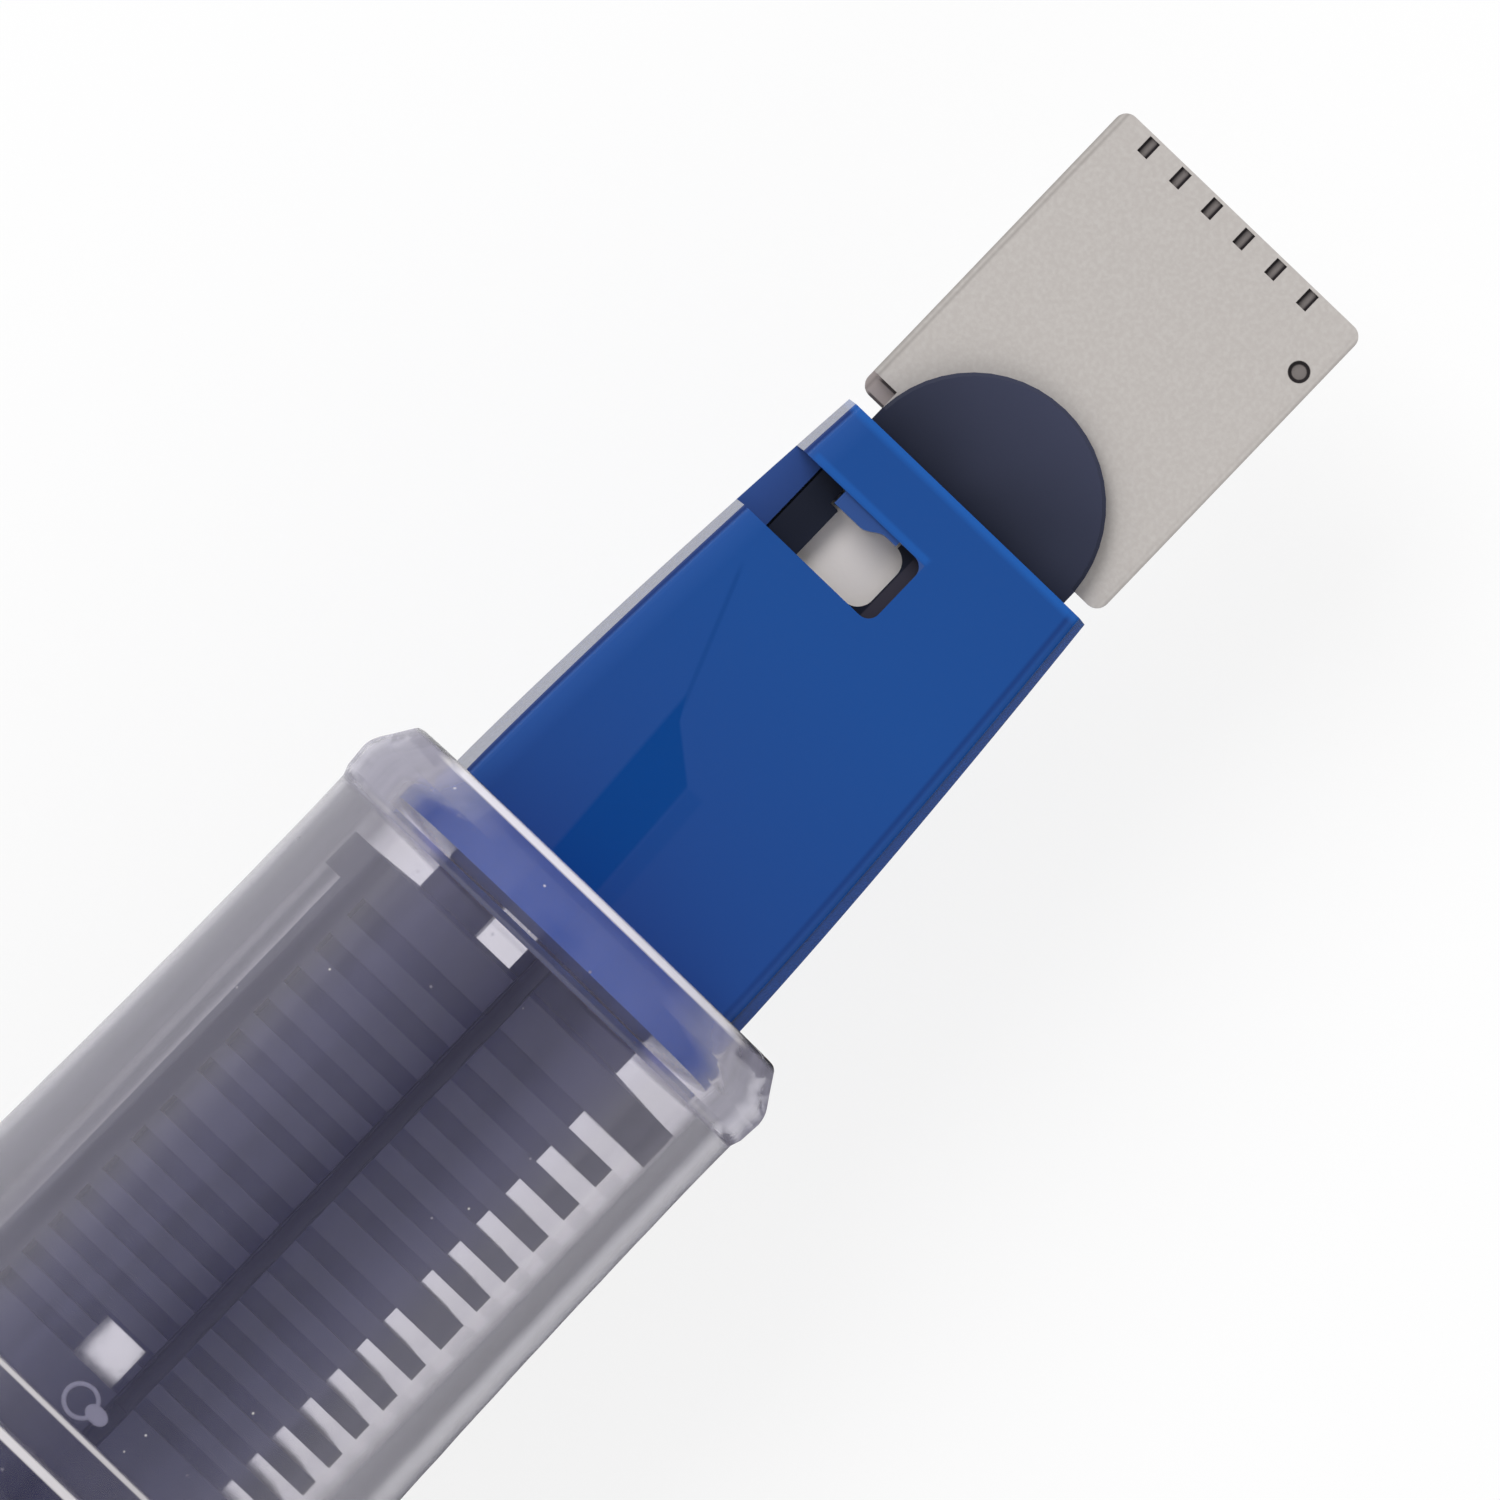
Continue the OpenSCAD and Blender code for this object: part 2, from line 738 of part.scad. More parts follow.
module barrel_outline() {
    bore_r = land_r + running_gap;
    hollow_r = bore_r - barrel_edge;
    bore_end_z = spigot_end_z + barrel_step;
    hollow_z = bore_end_z + barrel_step;
    difference() {
        polygon(concat(
            [
                [0, barrel_z],
                [cap_spigot_r - barrel_edge, barrel_z],
                [cap_spigot_r, barrel_z + barrel_edge],
                [cap_spigot_r, band_z],
                [band_r - barrel_fillet, band_z],
                [band_r, band_z + barrel_fillet]
            ],
            [
                for (k = [0 : taper_steps])
                    let (t = k / taper_steps)
                    [taper_radius(t), taper_z + (tail_z - taper_z) * t]
            ],
            [[0, tail_z]]
        ));
        polygon(concat(
            [
                [-1, barrel_z - 1],
                [bore_r, barrel_z - 1],
                [bore_r, bore_end_z],
                [hollow_r, hollow_z],
                [hollow_r, taper_z]
            ],
            [
                for (k = [1 : taper_steps])
                    let (
                        z = taper_z + (hollow_end_z - taper_z) * k / taper_steps,
                        r = taper_radius(taper_share(z)) - barrel_wall
                    )
                    [min(r, hollow_r), z]
            ],
            [[-1, hollow_end_z]]
        ));
        translate([-1, tail_z - plug_stem_l - barrel_step / 2])
            square([1 + plug_stem_r + fixed_gap, plug_stem_l + barrel_step]);
    }
}

module barrel() {
    color("#1d1d20") rotate_extrude() barrel_outline();
}

// Rounded plug that closes the tail
module tail_plug() {
    color("#1d1d20") rotate_extrude() {
        intersection() {
            translate([0, tail_z]) scale([tail_r, plug_l]) circle(r = 1);
            translate([0, tail_z]) square([tail_r + 1, plug_l + 1]);
        }
        translate([0, tail_z - plug_stem_l]) square([plug_stem_r, plug_stem_l + eps]);
    }
}

pen_frame() nib_plate();  // nib_plate_top
pen_frame() other_face() nib_plate();  // nib_plate_bottom
pen_frame() feed_half();  // feed_half_top
pen_frame() other_face() feed_half();  // feed_half_bottom
pen_frame() feed_strip();
pen_frame() nib_holder();
pen_frame() ink_collector();
pen_frame() cartridge_nipple();
pen_frame() grip_section();
pen_frame() section_ring();
pen_frame() cartridge_body();
pen_frame() cartridge_seal_disc();
pen_frame() barrel();
pen_frame() tail_plug();
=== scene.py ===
"""Parallel-plate calligraphy pen: finishes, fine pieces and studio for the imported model."""

import logging
import math
from dataclasses import dataclass, field
from enum import Enum

import bmesh
import bpy
from mathutils import Matrix, Vector


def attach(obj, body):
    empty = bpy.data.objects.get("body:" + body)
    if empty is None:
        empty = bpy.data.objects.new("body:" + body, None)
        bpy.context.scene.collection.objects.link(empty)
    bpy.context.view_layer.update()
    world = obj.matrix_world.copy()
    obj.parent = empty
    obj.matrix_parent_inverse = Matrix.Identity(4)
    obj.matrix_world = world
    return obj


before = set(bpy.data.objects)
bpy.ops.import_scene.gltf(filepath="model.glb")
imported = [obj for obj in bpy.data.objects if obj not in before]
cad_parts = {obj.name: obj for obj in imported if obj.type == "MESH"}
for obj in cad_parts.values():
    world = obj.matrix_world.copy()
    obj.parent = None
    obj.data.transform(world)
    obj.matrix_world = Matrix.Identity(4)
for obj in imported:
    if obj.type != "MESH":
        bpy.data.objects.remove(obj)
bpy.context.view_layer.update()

LOG = logging.getLogger("pen")
MM = 0.001
PEN_LENGTH_MM = 176.0
AXIS_X = Vector((1.0, 0.0, 0.0))
AXIS_Z = Vector((0.0, 0.0, 1.0))
SHARP_ANGLE = math.radians(35)
WELD_DISTANCE = 1e-7

Socket = bpy.types.NodeSocket
Tint = str | Socket  # hex code or colour socket
Triple = tuple[float, float, float]
Span = tuple[float, float]  # start and end of a range
Ramp = tuple[Span, Span]  # (input, output) at each of its two ends
Band = Triple  # start, end and the width of its soft ends


class Body(Enum):
    """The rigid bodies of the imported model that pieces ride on."""

    BARREL = "barrel"
    SECTION = "section"
    NIB_UNIT = "nib_unit"
    CARTRIDGE = "cartridge"


class Slot(Enum):
    """Names of the record's material slots; no piece here is given one."""

    FEED = "feed_black"
    FROSTED = "frosted_clear"
    CARTRIDGE = "cartridge_clear"
    BARREL = "barrel_black"


def station(mm: float) -> float:
    """World x, in metres, of a station measured in mm from the writing edge.

    Args:
        mm: Distance from the writing edge towards the tail.

    Returns:
        The x coordinate in the model's frame.
    """
    return (PEN_LENGTH_MM / 2 - mm) * MM


def srgb(code: str) -> tuple[float, float, float, float]:
    """Linear colour of a hex code.

    Args:
        code: Six hex digits, red first.

    Returns:
        Red, green, blue and alpha for a shader socket.
    """
    channels = [int(code[i : i + 2], 16) / 255 for i in (0, 2, 4)]
    linear = [
        c / 12.92 if c <= 0.04045 else ((c + 0.055) / 1.055) ** 2.4 for c in channels
    ]
    return (linear[0], linear[1], linear[2], 1.0)


class Graph:
    """The node tree of a material or a world, under construction."""

    def __init__(self, tree: bpy.types.NodeTree) -> None:
        """Takes up the tree that the nodes go into.

        Args:
            tree: The node tree.
        """
        self.tree = tree

    def node(self, kind: str, **settings: object) -> bpy.types.Node:
        """Adds a node.

        Args:
            kind: Type of the node.
            **settings: Properties to set on it.

        Returns:
            The new node.
        """
        made = self.tree.nodes.new(kind)
        for key, value in settings.items():
            setattr(made, key, value)
        return made

    def join(self, source: Socket, target: Socket) -> None:
        """Links an output socket to an input socket."""
        self.tree.links.new(source, target)

    def math(self, operation: str, *values: float | Socket, clamp: bool = False) -> Socket:
        """Works out a number from others.

        Args:
            operation: Name of the operation.
            *values: Numbers or value sockets.
            clamp: Keeps the result from 0 to 1.

        Returns:
            The result.
        """
        made = self.node("ShaderNodeMath", operation=operation, use_clamp=clamp)
        for socket, value in zip(made.inputs, values):
            if isinstance(value, (int, float)):
                socket.default_value = value
            else:
                self.join(value, socket)
        return made.outputs[0]

    def product(self, first: Socket, *others: float | Socket) -> Socket:
        """Multiplies shares.

        Args:
            first: The first factor.
            *others: The other factors.

        Returns:
            The product.
        """
        for other in others:
            first = self.math("MULTIPLY", first, other)
        return first

    def rest(self, share: Socket) -> Socket:
        """What a share leaves of one."""
        return self.math("SUBTRACT", 1.0, share)

    def remap(self, source: Socket, low: Span, high: Span) -> Socket:
        """Maps a value from one range to another, clamped.

        Args:
            source: The value.
            low: Input value and the output it gives.
            high: Input value and the output it gives.

        Returns:
            The mapped value.
        """
        made = self.node("ShaderNodeMapRange")
        made.inputs["From Min"].default_value = low[0]
        made.inputs["From Max"].default_value = high[0]
        made.inputs["To Min"].default_value = low[1]
        made.inputs["To Max"].default_value = high[1]
        self.join(source, made.inputs["Value"])
        return made.outputs["Result"]

    def between(self, value: Socket, low: float, high: float, soft: float) -> Socket:
        """Masks a range with soft ends.

        Args:
            value: The value to test.
            low: Start of the range.
            high: End of the range.
            soft: Width of each soft end.

        Returns:
            1 in the range and 0 outside it.
        """
        return self.product(
            self.remap(value, (low - soft / 2, 0.0), (low + soft / 2, 1.0)),
            self.remap(value, (high - soft / 2, 1.0), (high + soft / 2, 0.0)),
        )

    def blend(self, share: Socket, first: Tint, second: Tint) -> Socket:
        """Blends two colours.

        Args:
            share: 0 gives the first colour and 1 the second.
            first: Hex code or colour socket.
            second: Hex code or colour socket.

        Returns:
            The blended colour.
        """
        made = self.node("ShaderNodeMix", data_type="RGBA")
        self.join(share, made.inputs[0])
        for socket, value in ((made.inputs[6], first), (made.inputs[7], second)):
            if isinstance(value, str):
                socket.default_value = srgb(value)
            else:
                self.join(value, socket)
        return made.outputs[2]

    def mirrored(self, path: bpy.types.Node) -> Socket:
        """Picks out the rays that a surface mirrors and no clear piece bends.

        Args:
            path: The tree's light path node.

        Returns:
            1 for such a ray.
        """
        glossy = path.outputs["Is Glossy Ray"]
        bent = path.outputs["Is Transmission Ray"]
        return self.math("SUBTRACT", glossy, bent, clamp=True)

    def surface(
        self, share: Socket, first: bpy.types.Node, second: bpy.types.Node, output: str
    ) -> None:
        """Mixes two shaders into the tree's output.

        Args:
            share: 0 gives the first shader and 1 the second.
            first: A shader node.
            second: A shader node.
            output: Name of the output node.
        """
        mix = self.node("ShaderNodeMixShader")
        self.join(share, mix.inputs[0])
        self.join(first.outputs[0], mix.inputs[1])
        self.join(second.outputs[0], mix.inputs[2])
        self.join(mix.outputs[0], self.tree.nodes[output].inputs["Surface"])


class Recipe(Graph):
    """A procedural material under construction."""

    def __init__(self, name: str) -> None:
        """Starts the material with its own principled shader.

        Args:
            name: Name of the material.
        """
        self.material = bpy.data.materials.new(name)
        self.material.use_nodes = True
        super().__init__(self.material.node_tree)
        self.shader = self.tree.nodes["Principled BSDF"]

    def set(self, **values: object) -> None:
        """Sets the shader's own sockets, with underscores for spaces in their names."""
        for key, value in values.items():
            self.shader.inputs[key.replace("_", " ")].default_value = value

    def drive(self, **sources: Socket) -> None:
        """Links the shader's sockets, with underscores for spaces in their names."""
        for key, source in sources.items():
            self.join(source, self.shader.inputs[key.replace("_", " ")])

    def place(self, stretch: float = 1.0) -> Socket:
        """Object coordinates for a pattern.

        Args:
            stretch: Scale along the pen; less than 1 draws the pattern out.

        Returns:
            The vector socket.
        """
        coordinates = self.node("ShaderNodeTexCoord")
        mapping = self.node("ShaderNodeMapping")
        mapping.inputs["Scale"].default_value = (stretch, 1.0, 1.0)
        self.join(coordinates.outputs["Object"], mapping.inputs["Vector"])
        return mapping.outputs["Vector"]

    def noise(self, where: Socket, per_mm: float, detail: float = 2.0) -> Socket:
        """Noise at a real scale.

        Args:
            where: The vector socket to sample at.
            per_mm: Number of blotches in a millimetre.
            detail: Octaves of finer noise.

        Returns:
            The noise factor.
        """
        made = self.node("ShaderNodeTexNoise")
        made.inputs["Scale"].default_value = per_mm / MM
        made.inputs["Detail"].default_value = detail
        self.join(where, made.inputs["Vector"])
        return made.outputs["Fac"]

    def axes(self) -> tuple[Socket, Socket, Socket]:
        """Splits the object coordinates.

        Returns:
            Station, distance across the pen and height above its middle, all in mm.
        """
        split = self.node("ShaderNodeSeparateXYZ")
        self.join(self.place(), split.inputs["Vector"])
        along = self.math("MULTIPLY_ADD", split.outputs["X"], -1 / MM, PEN_LENGTH_MM / 2)
        across = self.math("MULTIPLY", split.outputs["Y"], 1 / MM)
        above = self.math("MULTIPLY", split.outputs["Z"], 1 / MM)
        return along, across, above

    def reach(self, across: Socket, above: Socket) -> Socket:
        """Distance from the pen's axis.

        Args:
            across: Distance across the pen.
            above: Height above its middle.

        Returns:
            The distance, in the unit of the other two.
        """
        squares = [self.math("POWER", side, 2.0) for side in (across, above)]
        return self.math("SQRT", self.math("ADD", *squares))

    def bump(self, source: Socket, depth_mm: float, strength: float) -> None:
        """Raises the surface by a height pattern.

        Args:
            source: The height, from 0 to 1.
            depth_mm: Height of a full step.
            strength: Share of the effect.
        """
        made = self.node("ShaderNodeBump")
        made.inputs["Distance"].default_value = depth_mm * MM
        made.inputs["Strength"].default_value = strength
        self.join(source, made.inputs["Height"])
        self.drive(Normal=made.outputs["Normal"])


@dataclass(frozen=True)
class SteelFinish:
    """Matte stainless sheet with painted shade in its pits, lighter on their floors, painted
    shade on its rim, bevel, ear edges and inner faces, and painted light on its tang.
    """

    face: str = "cac4c0"
    spark: str = "d2cdc9"
    inner_shade: str = "b9aeac"
    bevel_shade: str = "6f6864"
    tang_light: str = "fdf6f2"
    deep_shade: str = "322e31"
    pit_floor_shade: str = "8b8482"
    rim: str = "77726f"
    metallic: float = 0.3
    grain_per_mm: float = 11.0
    grain_detail: float = 4.0
    grain_share: Ramp = ((0.4, 0.0), (0.7, 0.9))
    grain_roughness: Ramp = ((0.3, 0.45), (0.7, 0.6))
    grain_mm: float = 0.006
    grain_strength: float = 0.6
    # Over the distance from the middle, mm: painted shade on the rim and on the bevel, whose
    # painted shade is fainter on one side.
    rim_shade_share: Ramp = ((2.93, 0.0), (3.0, 0.45))
    off_rim: Ramp = ((2.9, 1.0), (2.95, 0.0))
    bevel_mm: Band = (2.86, 2.91, 0.05)
    bevel_shade_share: Ramp = ((-0.5, 0.08), (0.5, 0.34))
    # Over the height from the pen's middle, mm.
    inner_side: Ramp = ((0.12, 1.0), (0.13, 0.0))
    outer_side: Ramp = ((0.13, 0.0), (0.14, 1.0))
    under_face: Ramp = ((0.33, 1.0), (0.345, 0.0))
    over_floor: Ramp = ((0.21, 0.0), (0.22, 1.0))
    on_floor: Ramp = ((0.23, 1.0), (0.26, 0.0))
    # Stations from the writing edge, mm.
    tang_light_share: Ramp = ((7.6, 0.0), (7.8, 1.0))
    ear_front_mm: Band = (6.61, 6.67, 0.02)
    ear_rear_mm: Band = (6.95, 7.1, 0.02)
    ear_side_mm: Band = (2.3, 2.8, 0.1)
    ear_shade_share: float = 0.8

    def build(self) -> bpy.types.Material:
        """Builds the material.

        Returns:
            The steel material.
        """
        recipe = Recipe("matte_stainless")
        recipe.set(Metallic=self.metallic)
        along, across, above = recipe.axes()
        side = recipe.math("ABSOLUTE", across)
        height = recipe.math("ABSOLUTE", above)
        grain = recipe.noise(recipe.place(), self.grain_per_mm, self.grain_detail)
        tone = recipe.blend(recipe.remap(grain, *self.grain_share), self.face, self.spark)
        # Painted shade along the rim, where the edge turns away from the light.
        tone = recipe.blend(recipe.remap(side, *self.rim_shade_share), tone, self.rim)
        # Painted shade on the plates' inner faces, which face each other.
        inner_shade = recipe.remap(height, *self.inner_side)
        tone = recipe.blend(inner_shade, tone, self.inner_shade)
        # Painted shade on the bevel, stronger on one side.
        bevel_shade = recipe.product(
            recipe.between(side, *self.bevel_mm),
            recipe.remap(across, *self.bevel_shade_share),
        )
        tone = recipe.blend(bevel_shade, tone, self.bevel_shade)
        # Painted light on the tang, brighter than the face, where the holder's pocket shades
        # it.
        tang_light_mask = recipe.product(
            recipe.remap(along, *self.tang_light_share), recipe.remap(height, *self.outer_side)
        )
        tone = recipe.blend(tang_light_mask, tone, self.tang_light)
        # Painted shade lines along the ear's front and rear edges, on the inner faces.
        ear_shade = recipe.math(
            "MAXIMUM",
            recipe.between(along, *self.ear_front_mm),
            recipe.between(along, *self.ear_rear_mm),
        )
        ear_shade = recipe.product(
            ear_shade, inner_shade, recipe.between(side, *self.ear_side_mm), self.ear_shade_share
        )
        tone = recipe.blend(ear_shade, tone, self.deep_shade)
        # Painted shade in the stamped pits: darkest on their walls, lighter on their floors.
        floor = recipe.remap(height, *self.on_floor)
        pit_shade_tone = recipe.blend(floor, self.deep_shade, self.pit_floor_shade)
        painted_mark_mask = recipe.product(
            recipe.remap(height, *self.under_face),
            recipe.remap(height, *self.over_floor),
            recipe.remap(side, *self.off_rim),
        )
        recipe.drive(
            Base_Color=recipe.blend(painted_mark_mask, tone, pit_shade_tone),
            Roughness=recipe.remap(grain, *self.grain_roughness),
        )
        recipe.bump(grain, self.grain_mm, self.grain_strength)
        return recipe.material


@dataclass(frozen=True)
class FeedFinish:
    """Satin blue-black moulding whose tone deepens along the pen."""

    name: str = "satin_blue_black"
    front: str = "383c52"
    rear: str = "0e1424"
    front_mm: float = 4.8
    rear_mm: float = 8.0
    middle_mm: float = -0.1
    middle_shade: float = 0.0
    middle_reach_mm: Span = (0.1, 1.3)
    # Painted light on the pocket's side wall, lighter than the black around it.
    wall: str = "3a3640"
    lit_wall_mm: Band = (-0.2, 0.1, 0.02)
    lit_wall_along_mm: Band = (8.6, 10.1, 0.1)
    core_mm: float = 0.0
    core_soft_mm: float = 0.1
    core_shade: float = 0.32
    gloss: float = 0.35
    core_gloss: float = 0.3
    # Colour of the painted shade near the middle and in the slots.
    shade: str = "10145a"
    clouds_per_mm: float = 0.35
    clouds_share: Ramp = ((0.4, 0.0), (0.7, 0.25))
    grain_per_mm: float = 14.0
    grain_roughness: Ramp = ((0.3, 0.36), (0.7, 0.46))
    grain_mm: float = 0.003
    grain_strength: float = 0.5

    def build(self) -> bpy.types.Material:
        """Builds the material.

        Returns:
            The feed material.
        """
        recipe = Recipe(self.name)
        recipe.set(Specular_IOR_Level=self.gloss)
        along, across, above = recipe.axes()
        share = recipe.remap(along, (self.front_mm, 0.0), (self.rear_mm, 1.0))
        tone = recipe.blend(share, self.front, self.rear)
        off_middle = recipe.math(
            "ABSOLUTE", recipe.math("SUBTRACT", across, self.middle_mm)
        )
        # Painted shade around the middle groove.
        dark_mm, light_mm = self.middle_reach_mm
        middle = recipe.remap(off_middle, (dark_mm, self.middle_shade), (light_mm, 0.0))
        tone = recipe.blend(middle, tone, self.shade)
        # Painted shade in the slots, below the tops of the comb's fins.
        core = recipe.remap(
            recipe.reach(across, above),
            (self.core_mm - self.core_soft_mm, 1.0),
            (self.core_mm + self.core_soft_mm, 0.0),
        )
        tone = recipe.blend(recipe.product(core, self.core_shade), tone, self.shade)
        if self.core_mm > 0.0:
            gloss = recipe.remap(core, (0.0, self.gloss), (1.0, self.core_gloss))
            recipe.drive(Specular_IOR_Level=gloss)
        face_side = recipe.product(across, recipe.math("SIGN", above))
        # Painted light on the wall of the pocket in the holder's window.
        pocket = recipe.product(
            recipe.between(face_side, *self.lit_wall_mm),
            recipe.between(along, *self.lit_wall_along_mm),
        )
        tone = recipe.blend(pocket, tone, self.wall)
        clouds = recipe.noise(recipe.place(), self.clouds_per_mm)
        grain = recipe.noise(recipe.place(), self.grain_per_mm)
        recipe.drive(
            Base_Color=recipe.blend(
                recipe.remap(clouds, *self.clouds_share), tone, self.front
            ),
            Roughness=recipe.remap(grain, *self.grain_roughness),
        )
        recipe.bump(grain, self.grain_mm, self.grain_strength)
        return recipe.material


@dataclass(frozen=True)
class Sheen:
    """Roughness with a little dust, and the faint ripple of a moulding."""

    roughness: float = 0.13
    dust_per_mm: float = 12.0
    dust_range: Span = (0.35, 0.8)
    dust_roughness: float = 0.08
    ripple_per_mm: float = 0.9
    ripple_stretch: float = 0.5
    ripple_mm: float = 0.004
    ripple_strength: float = 0.5

    def apply(self, recipe: Recipe) -> None:
        """Drives a material's roughness and bump.

        Args:
            recipe: The material under construction.
        """
        clean, dusty = self.dust_range
        dust = recipe.noise(recipe.place(), self.dust_per_mm)
        rough = recipe.remap(
            dust, (clean, self.roughness), (dusty, self.roughness + self.dust_roughness)
        )
        recipe.drive(Roughness=rough)
        ripple = recipe.noise(recipe.place(self.ripple_stretch), self.ripple_per_mm)
        recipe.bump(ripple, self.ripple_mm, self.ripple_strength)


@dataclass(frozen=True)
class GlossFinish:
    """Glossy coloured moulding with a slow tone change."""

    name: str
    body: str
    deep: str
    sheen: Sheen = Sheen()
    clouds_per_mm: float = 0.25
    clouds_stretch: float = 0.5
    clouds_share: Ramp = ((0.35, 0.0), (0.65, 1.0))

    def build(self) -> bpy.types.Material:
        """Builds the material.

        Returns:
            The glossy material.
        """
        recipe = Recipe(self.name)
        clouds = recipe.noise(recipe.place(self.clouds_stretch), self.clouds_per_mm)
        share = recipe.remap(clouds, *self.clouds_share)
        recipe.drive(Base_Color=recipe.blend(share, self.body, self.deep))
        self.sheen.apply(recipe)
        return recipe.material


@dataclass(frozen=True)
class HolderFinish:
    """Glossy blue moulding with a painted glint and painted shade on its rounded edges,
    lighter and darker painted sides, painted shade and light in the window, a painted dark
    reflection on its face and painted light where it sits within the section.

    Sides are measured from the middle towards the window's side.
    """

    body: str = "12468c"
    rear: str = "173f82"
    edge_light: str = "1a5cae"
    line: str = "102a66"
    edge_band_shade: str = "0a3272"
    edge_glint: str = "2a559d"
    shaded_wall: str = "16306c"
    lit_wall: str = "1e58b4"
    tongue_shade: str = "2f4c86"
    ledge_light: str = "324f90"
    dark_reflection: str = "013c80"
    inside_light: str = "5383f2"
    sheen: Sheen = Sheen()
    # Ramps and ranges of stations, mm.
    rear_share: Ramp = ((11.0, 0.0), (17.0, 1.0))
    front_share: Ramp = ((7.38, 0.7), (7.5, 0.0))
    inside_light_share: Ramp = ((17.05, 0.0), (17.15, 1.0))
    # The window: painted highlight on its front lip, painted shade on the tongue under it and
    # painted light on the pocket's floor.
    lip_mm: Band = (8.41, 8.55, 0.06)
    lip_side_mm: Band = (-0.13, 2.7, 0.1)
    lip_share: float = 0.5
    tongue_mm: Band = (8.57, 9.05, 0.02)
    tongue_side_mm: Band = (-0.13, 1.87, 0.02)
    ledge_mm: Band = (8.55, 10.15, 0.02)
    on_middle: Ramp = ((0.05, 1.0), (0.1, 0.0))
    # The faces' outline, and ramps over the inset from it for the painted glint, the painted
    # shade line and band, and the painted light and shade on the sides.
    front_mm: float = 7.3
    length_mm: float = 9.7
    flare: float = 1.42
    front_half_mm: float = 2.83
    growth_mm: float = 0.515
    edge_glint_share: Ramp = ((0.14, 0.55), (0.6, 0.0))
    edge_line_shade_share: Ramp = ((0.08, 0.85), (0.12, 0.0))
    edge_band_shade_mm: Band = (0.14, 0.23, 0.06)
    edge_band_shade_share: float = 0.8
    wall_share: Ramp = ((-0.05, 1.0), (0.02, 0.0))
    # The painted dark reflection: its thin line, its patch and a faint streak.
    reflection_line_mm: Band = (10.9, 13.45, 0.3)
    reflection_line_side_mm: float = 2.26
    reflection_line_slope: float = 0.385
    reflection_line_share: Ramp = ((0.02, 0.7), (0.07, 0.0))
    reflection_sides_mm: Band = (0.26, 1.38, 0.08)
    reflection_fronts_mm: Triple = (14.42, 13.65, 13.2)
    reflection_kink: float = 0.8
    reflection_drift: float = 0.05
    reflection_front: Ramp = ((0.0, 0.0), (0.07, 1.0))
    reflection_gloss: Ramp = ((0.0, 0.5), (1.0, 0.25))
    streak_mm: Band = (-0.12, 0.22, 0.06)
    streak_share: float = 0.35

    def build(self) -> bpy.types.Material:
        """Builds the material.

        Returns:
            The holder's blue.
        """
        recipe = Recipe("gloss_royal_blue")
        along, across, above = recipe.axes()
        face_side = recipe.product(across, recipe.math("SIGN", above))
        tone = recipe.blend(recipe.remap(along, *self.rear_share), self.body, self.rear)
        # Painted dark reflection on the face: a thin line and a patch, with less gloss in the
        # patch.
        tone = recipe.blend(self.dark_reflection_line(recipe, along, face_side), tone, self.dark_reflection)
        painted_mark_mask = self.dark_reflection_patch(recipe, along, face_side)
        tone = recipe.blend(painted_mark_mask, tone, self.dark_reflection)
        recipe.drive(Specular_IOR_Level=recipe.remap(painted_mark_mask, *self.reflection_gloss))
        tone = self.edges(recipe, along, across, face_side, tone)
        height = recipe.math("ABSOLUTE", above)
        tone = self.window(recipe, along, face_side, height, tone)
        # Painted light: a brighter blue where the holder sits within the frosted section.
        inside_light_mask = recipe.remap(along, *self.inside_light_share)
        recipe.drive(Base_Color=recipe.blend(inside_light_mask, tone, self.inside_light))
        self.sheen.apply(recipe)
        return recipe.material

    def window(
        self, recipe: Recipe, along: Socket, face_side: Socket, height: Socket, tone: Socket
    ) -> Socket:
        """Paints highlights on the front edges, painted shade on the window's tongue and
        painted light on the pocket's floor.

        Args:
            recipe: The material under construction.
            along: Station in mm.
            face_side: Distance from the middle towards the window's side in mm.
            height: Height from the pen's middle in mm.
            tone: Colour of the faces.

        Returns:
            The colour with its window.
        """
        # Painted highlight along the front edge and the window's front lip.
        lip = recipe.product(
            recipe.between(along, *self.lip_mm),
            recipe.between(face_side, *self.lip_side_mm),
            self.lip_share,
        )
        light = recipe.math("MAXIMUM", recipe.remap(along, *self.front_share), lip)
        tone = recipe.blend(light, tone, self.edge_light)
        middle = recipe.remap(height, *self.on_middle)
        # Painted shade on the tongue under the window's lip.
        tongue_shade = recipe.product(
            recipe.between(along, *self.tongue_mm),
            recipe.between(face_side, *self.tongue_side_mm),
            recipe.rest(middle),
        )
        tone = recipe.blend(tongue_shade, tone, self.tongue_shade)
        # Painted light on the cut face within the window.
        ledge_light = recipe.product(recipe.between(along, *self.ledge_mm), middle)
        return recipe.blend(ledge_light, tone, self.ledge_light)

    def edges(
        self, recipe: Recipe, along: Socket, across: Socket, face_side: Socket, tone: Socket
    ) -> Socket:
        """Paints a glint and shade on the two rounded edges of the faces, and light on one
        side and shade on the other.

        Args:
            recipe: The material under construction.
            along: Station in mm.
            across: Distance from the middle in mm.
            face_side: Distance from the middle towards the window's side in mm.
            tone: Colour of the faces.

        Returns:
            The colour with its edges.
        """
        from_front = recipe.math("SUBTRACT", along, self.front_mm)
        left = recipe.rest(recipe.math("DIVIDE", from_front, self.length_mm))
        bulge = recipe.math("POWER", recipe.math("MAXIMUM", left, 0.0), self.flare)
        half = recipe.math(
            "MULTIPLY_ADD", bulge, -self.growth_mm, self.front_half_mm + self.growth_mm
        )
        inset = recipe.math("SUBTRACT", half, recipe.math("ABSOLUTE", across))
        open_side = recipe.math("GREATER_THAN", face_side, 0.0)
        # Painted glint along the rounded edge on the window's side.
        edge_glint = recipe.product(open_side, recipe.remap(inset, *self.edge_glint_share))
        tone = recipe.blend(edge_glint, tone, self.edge_glint)
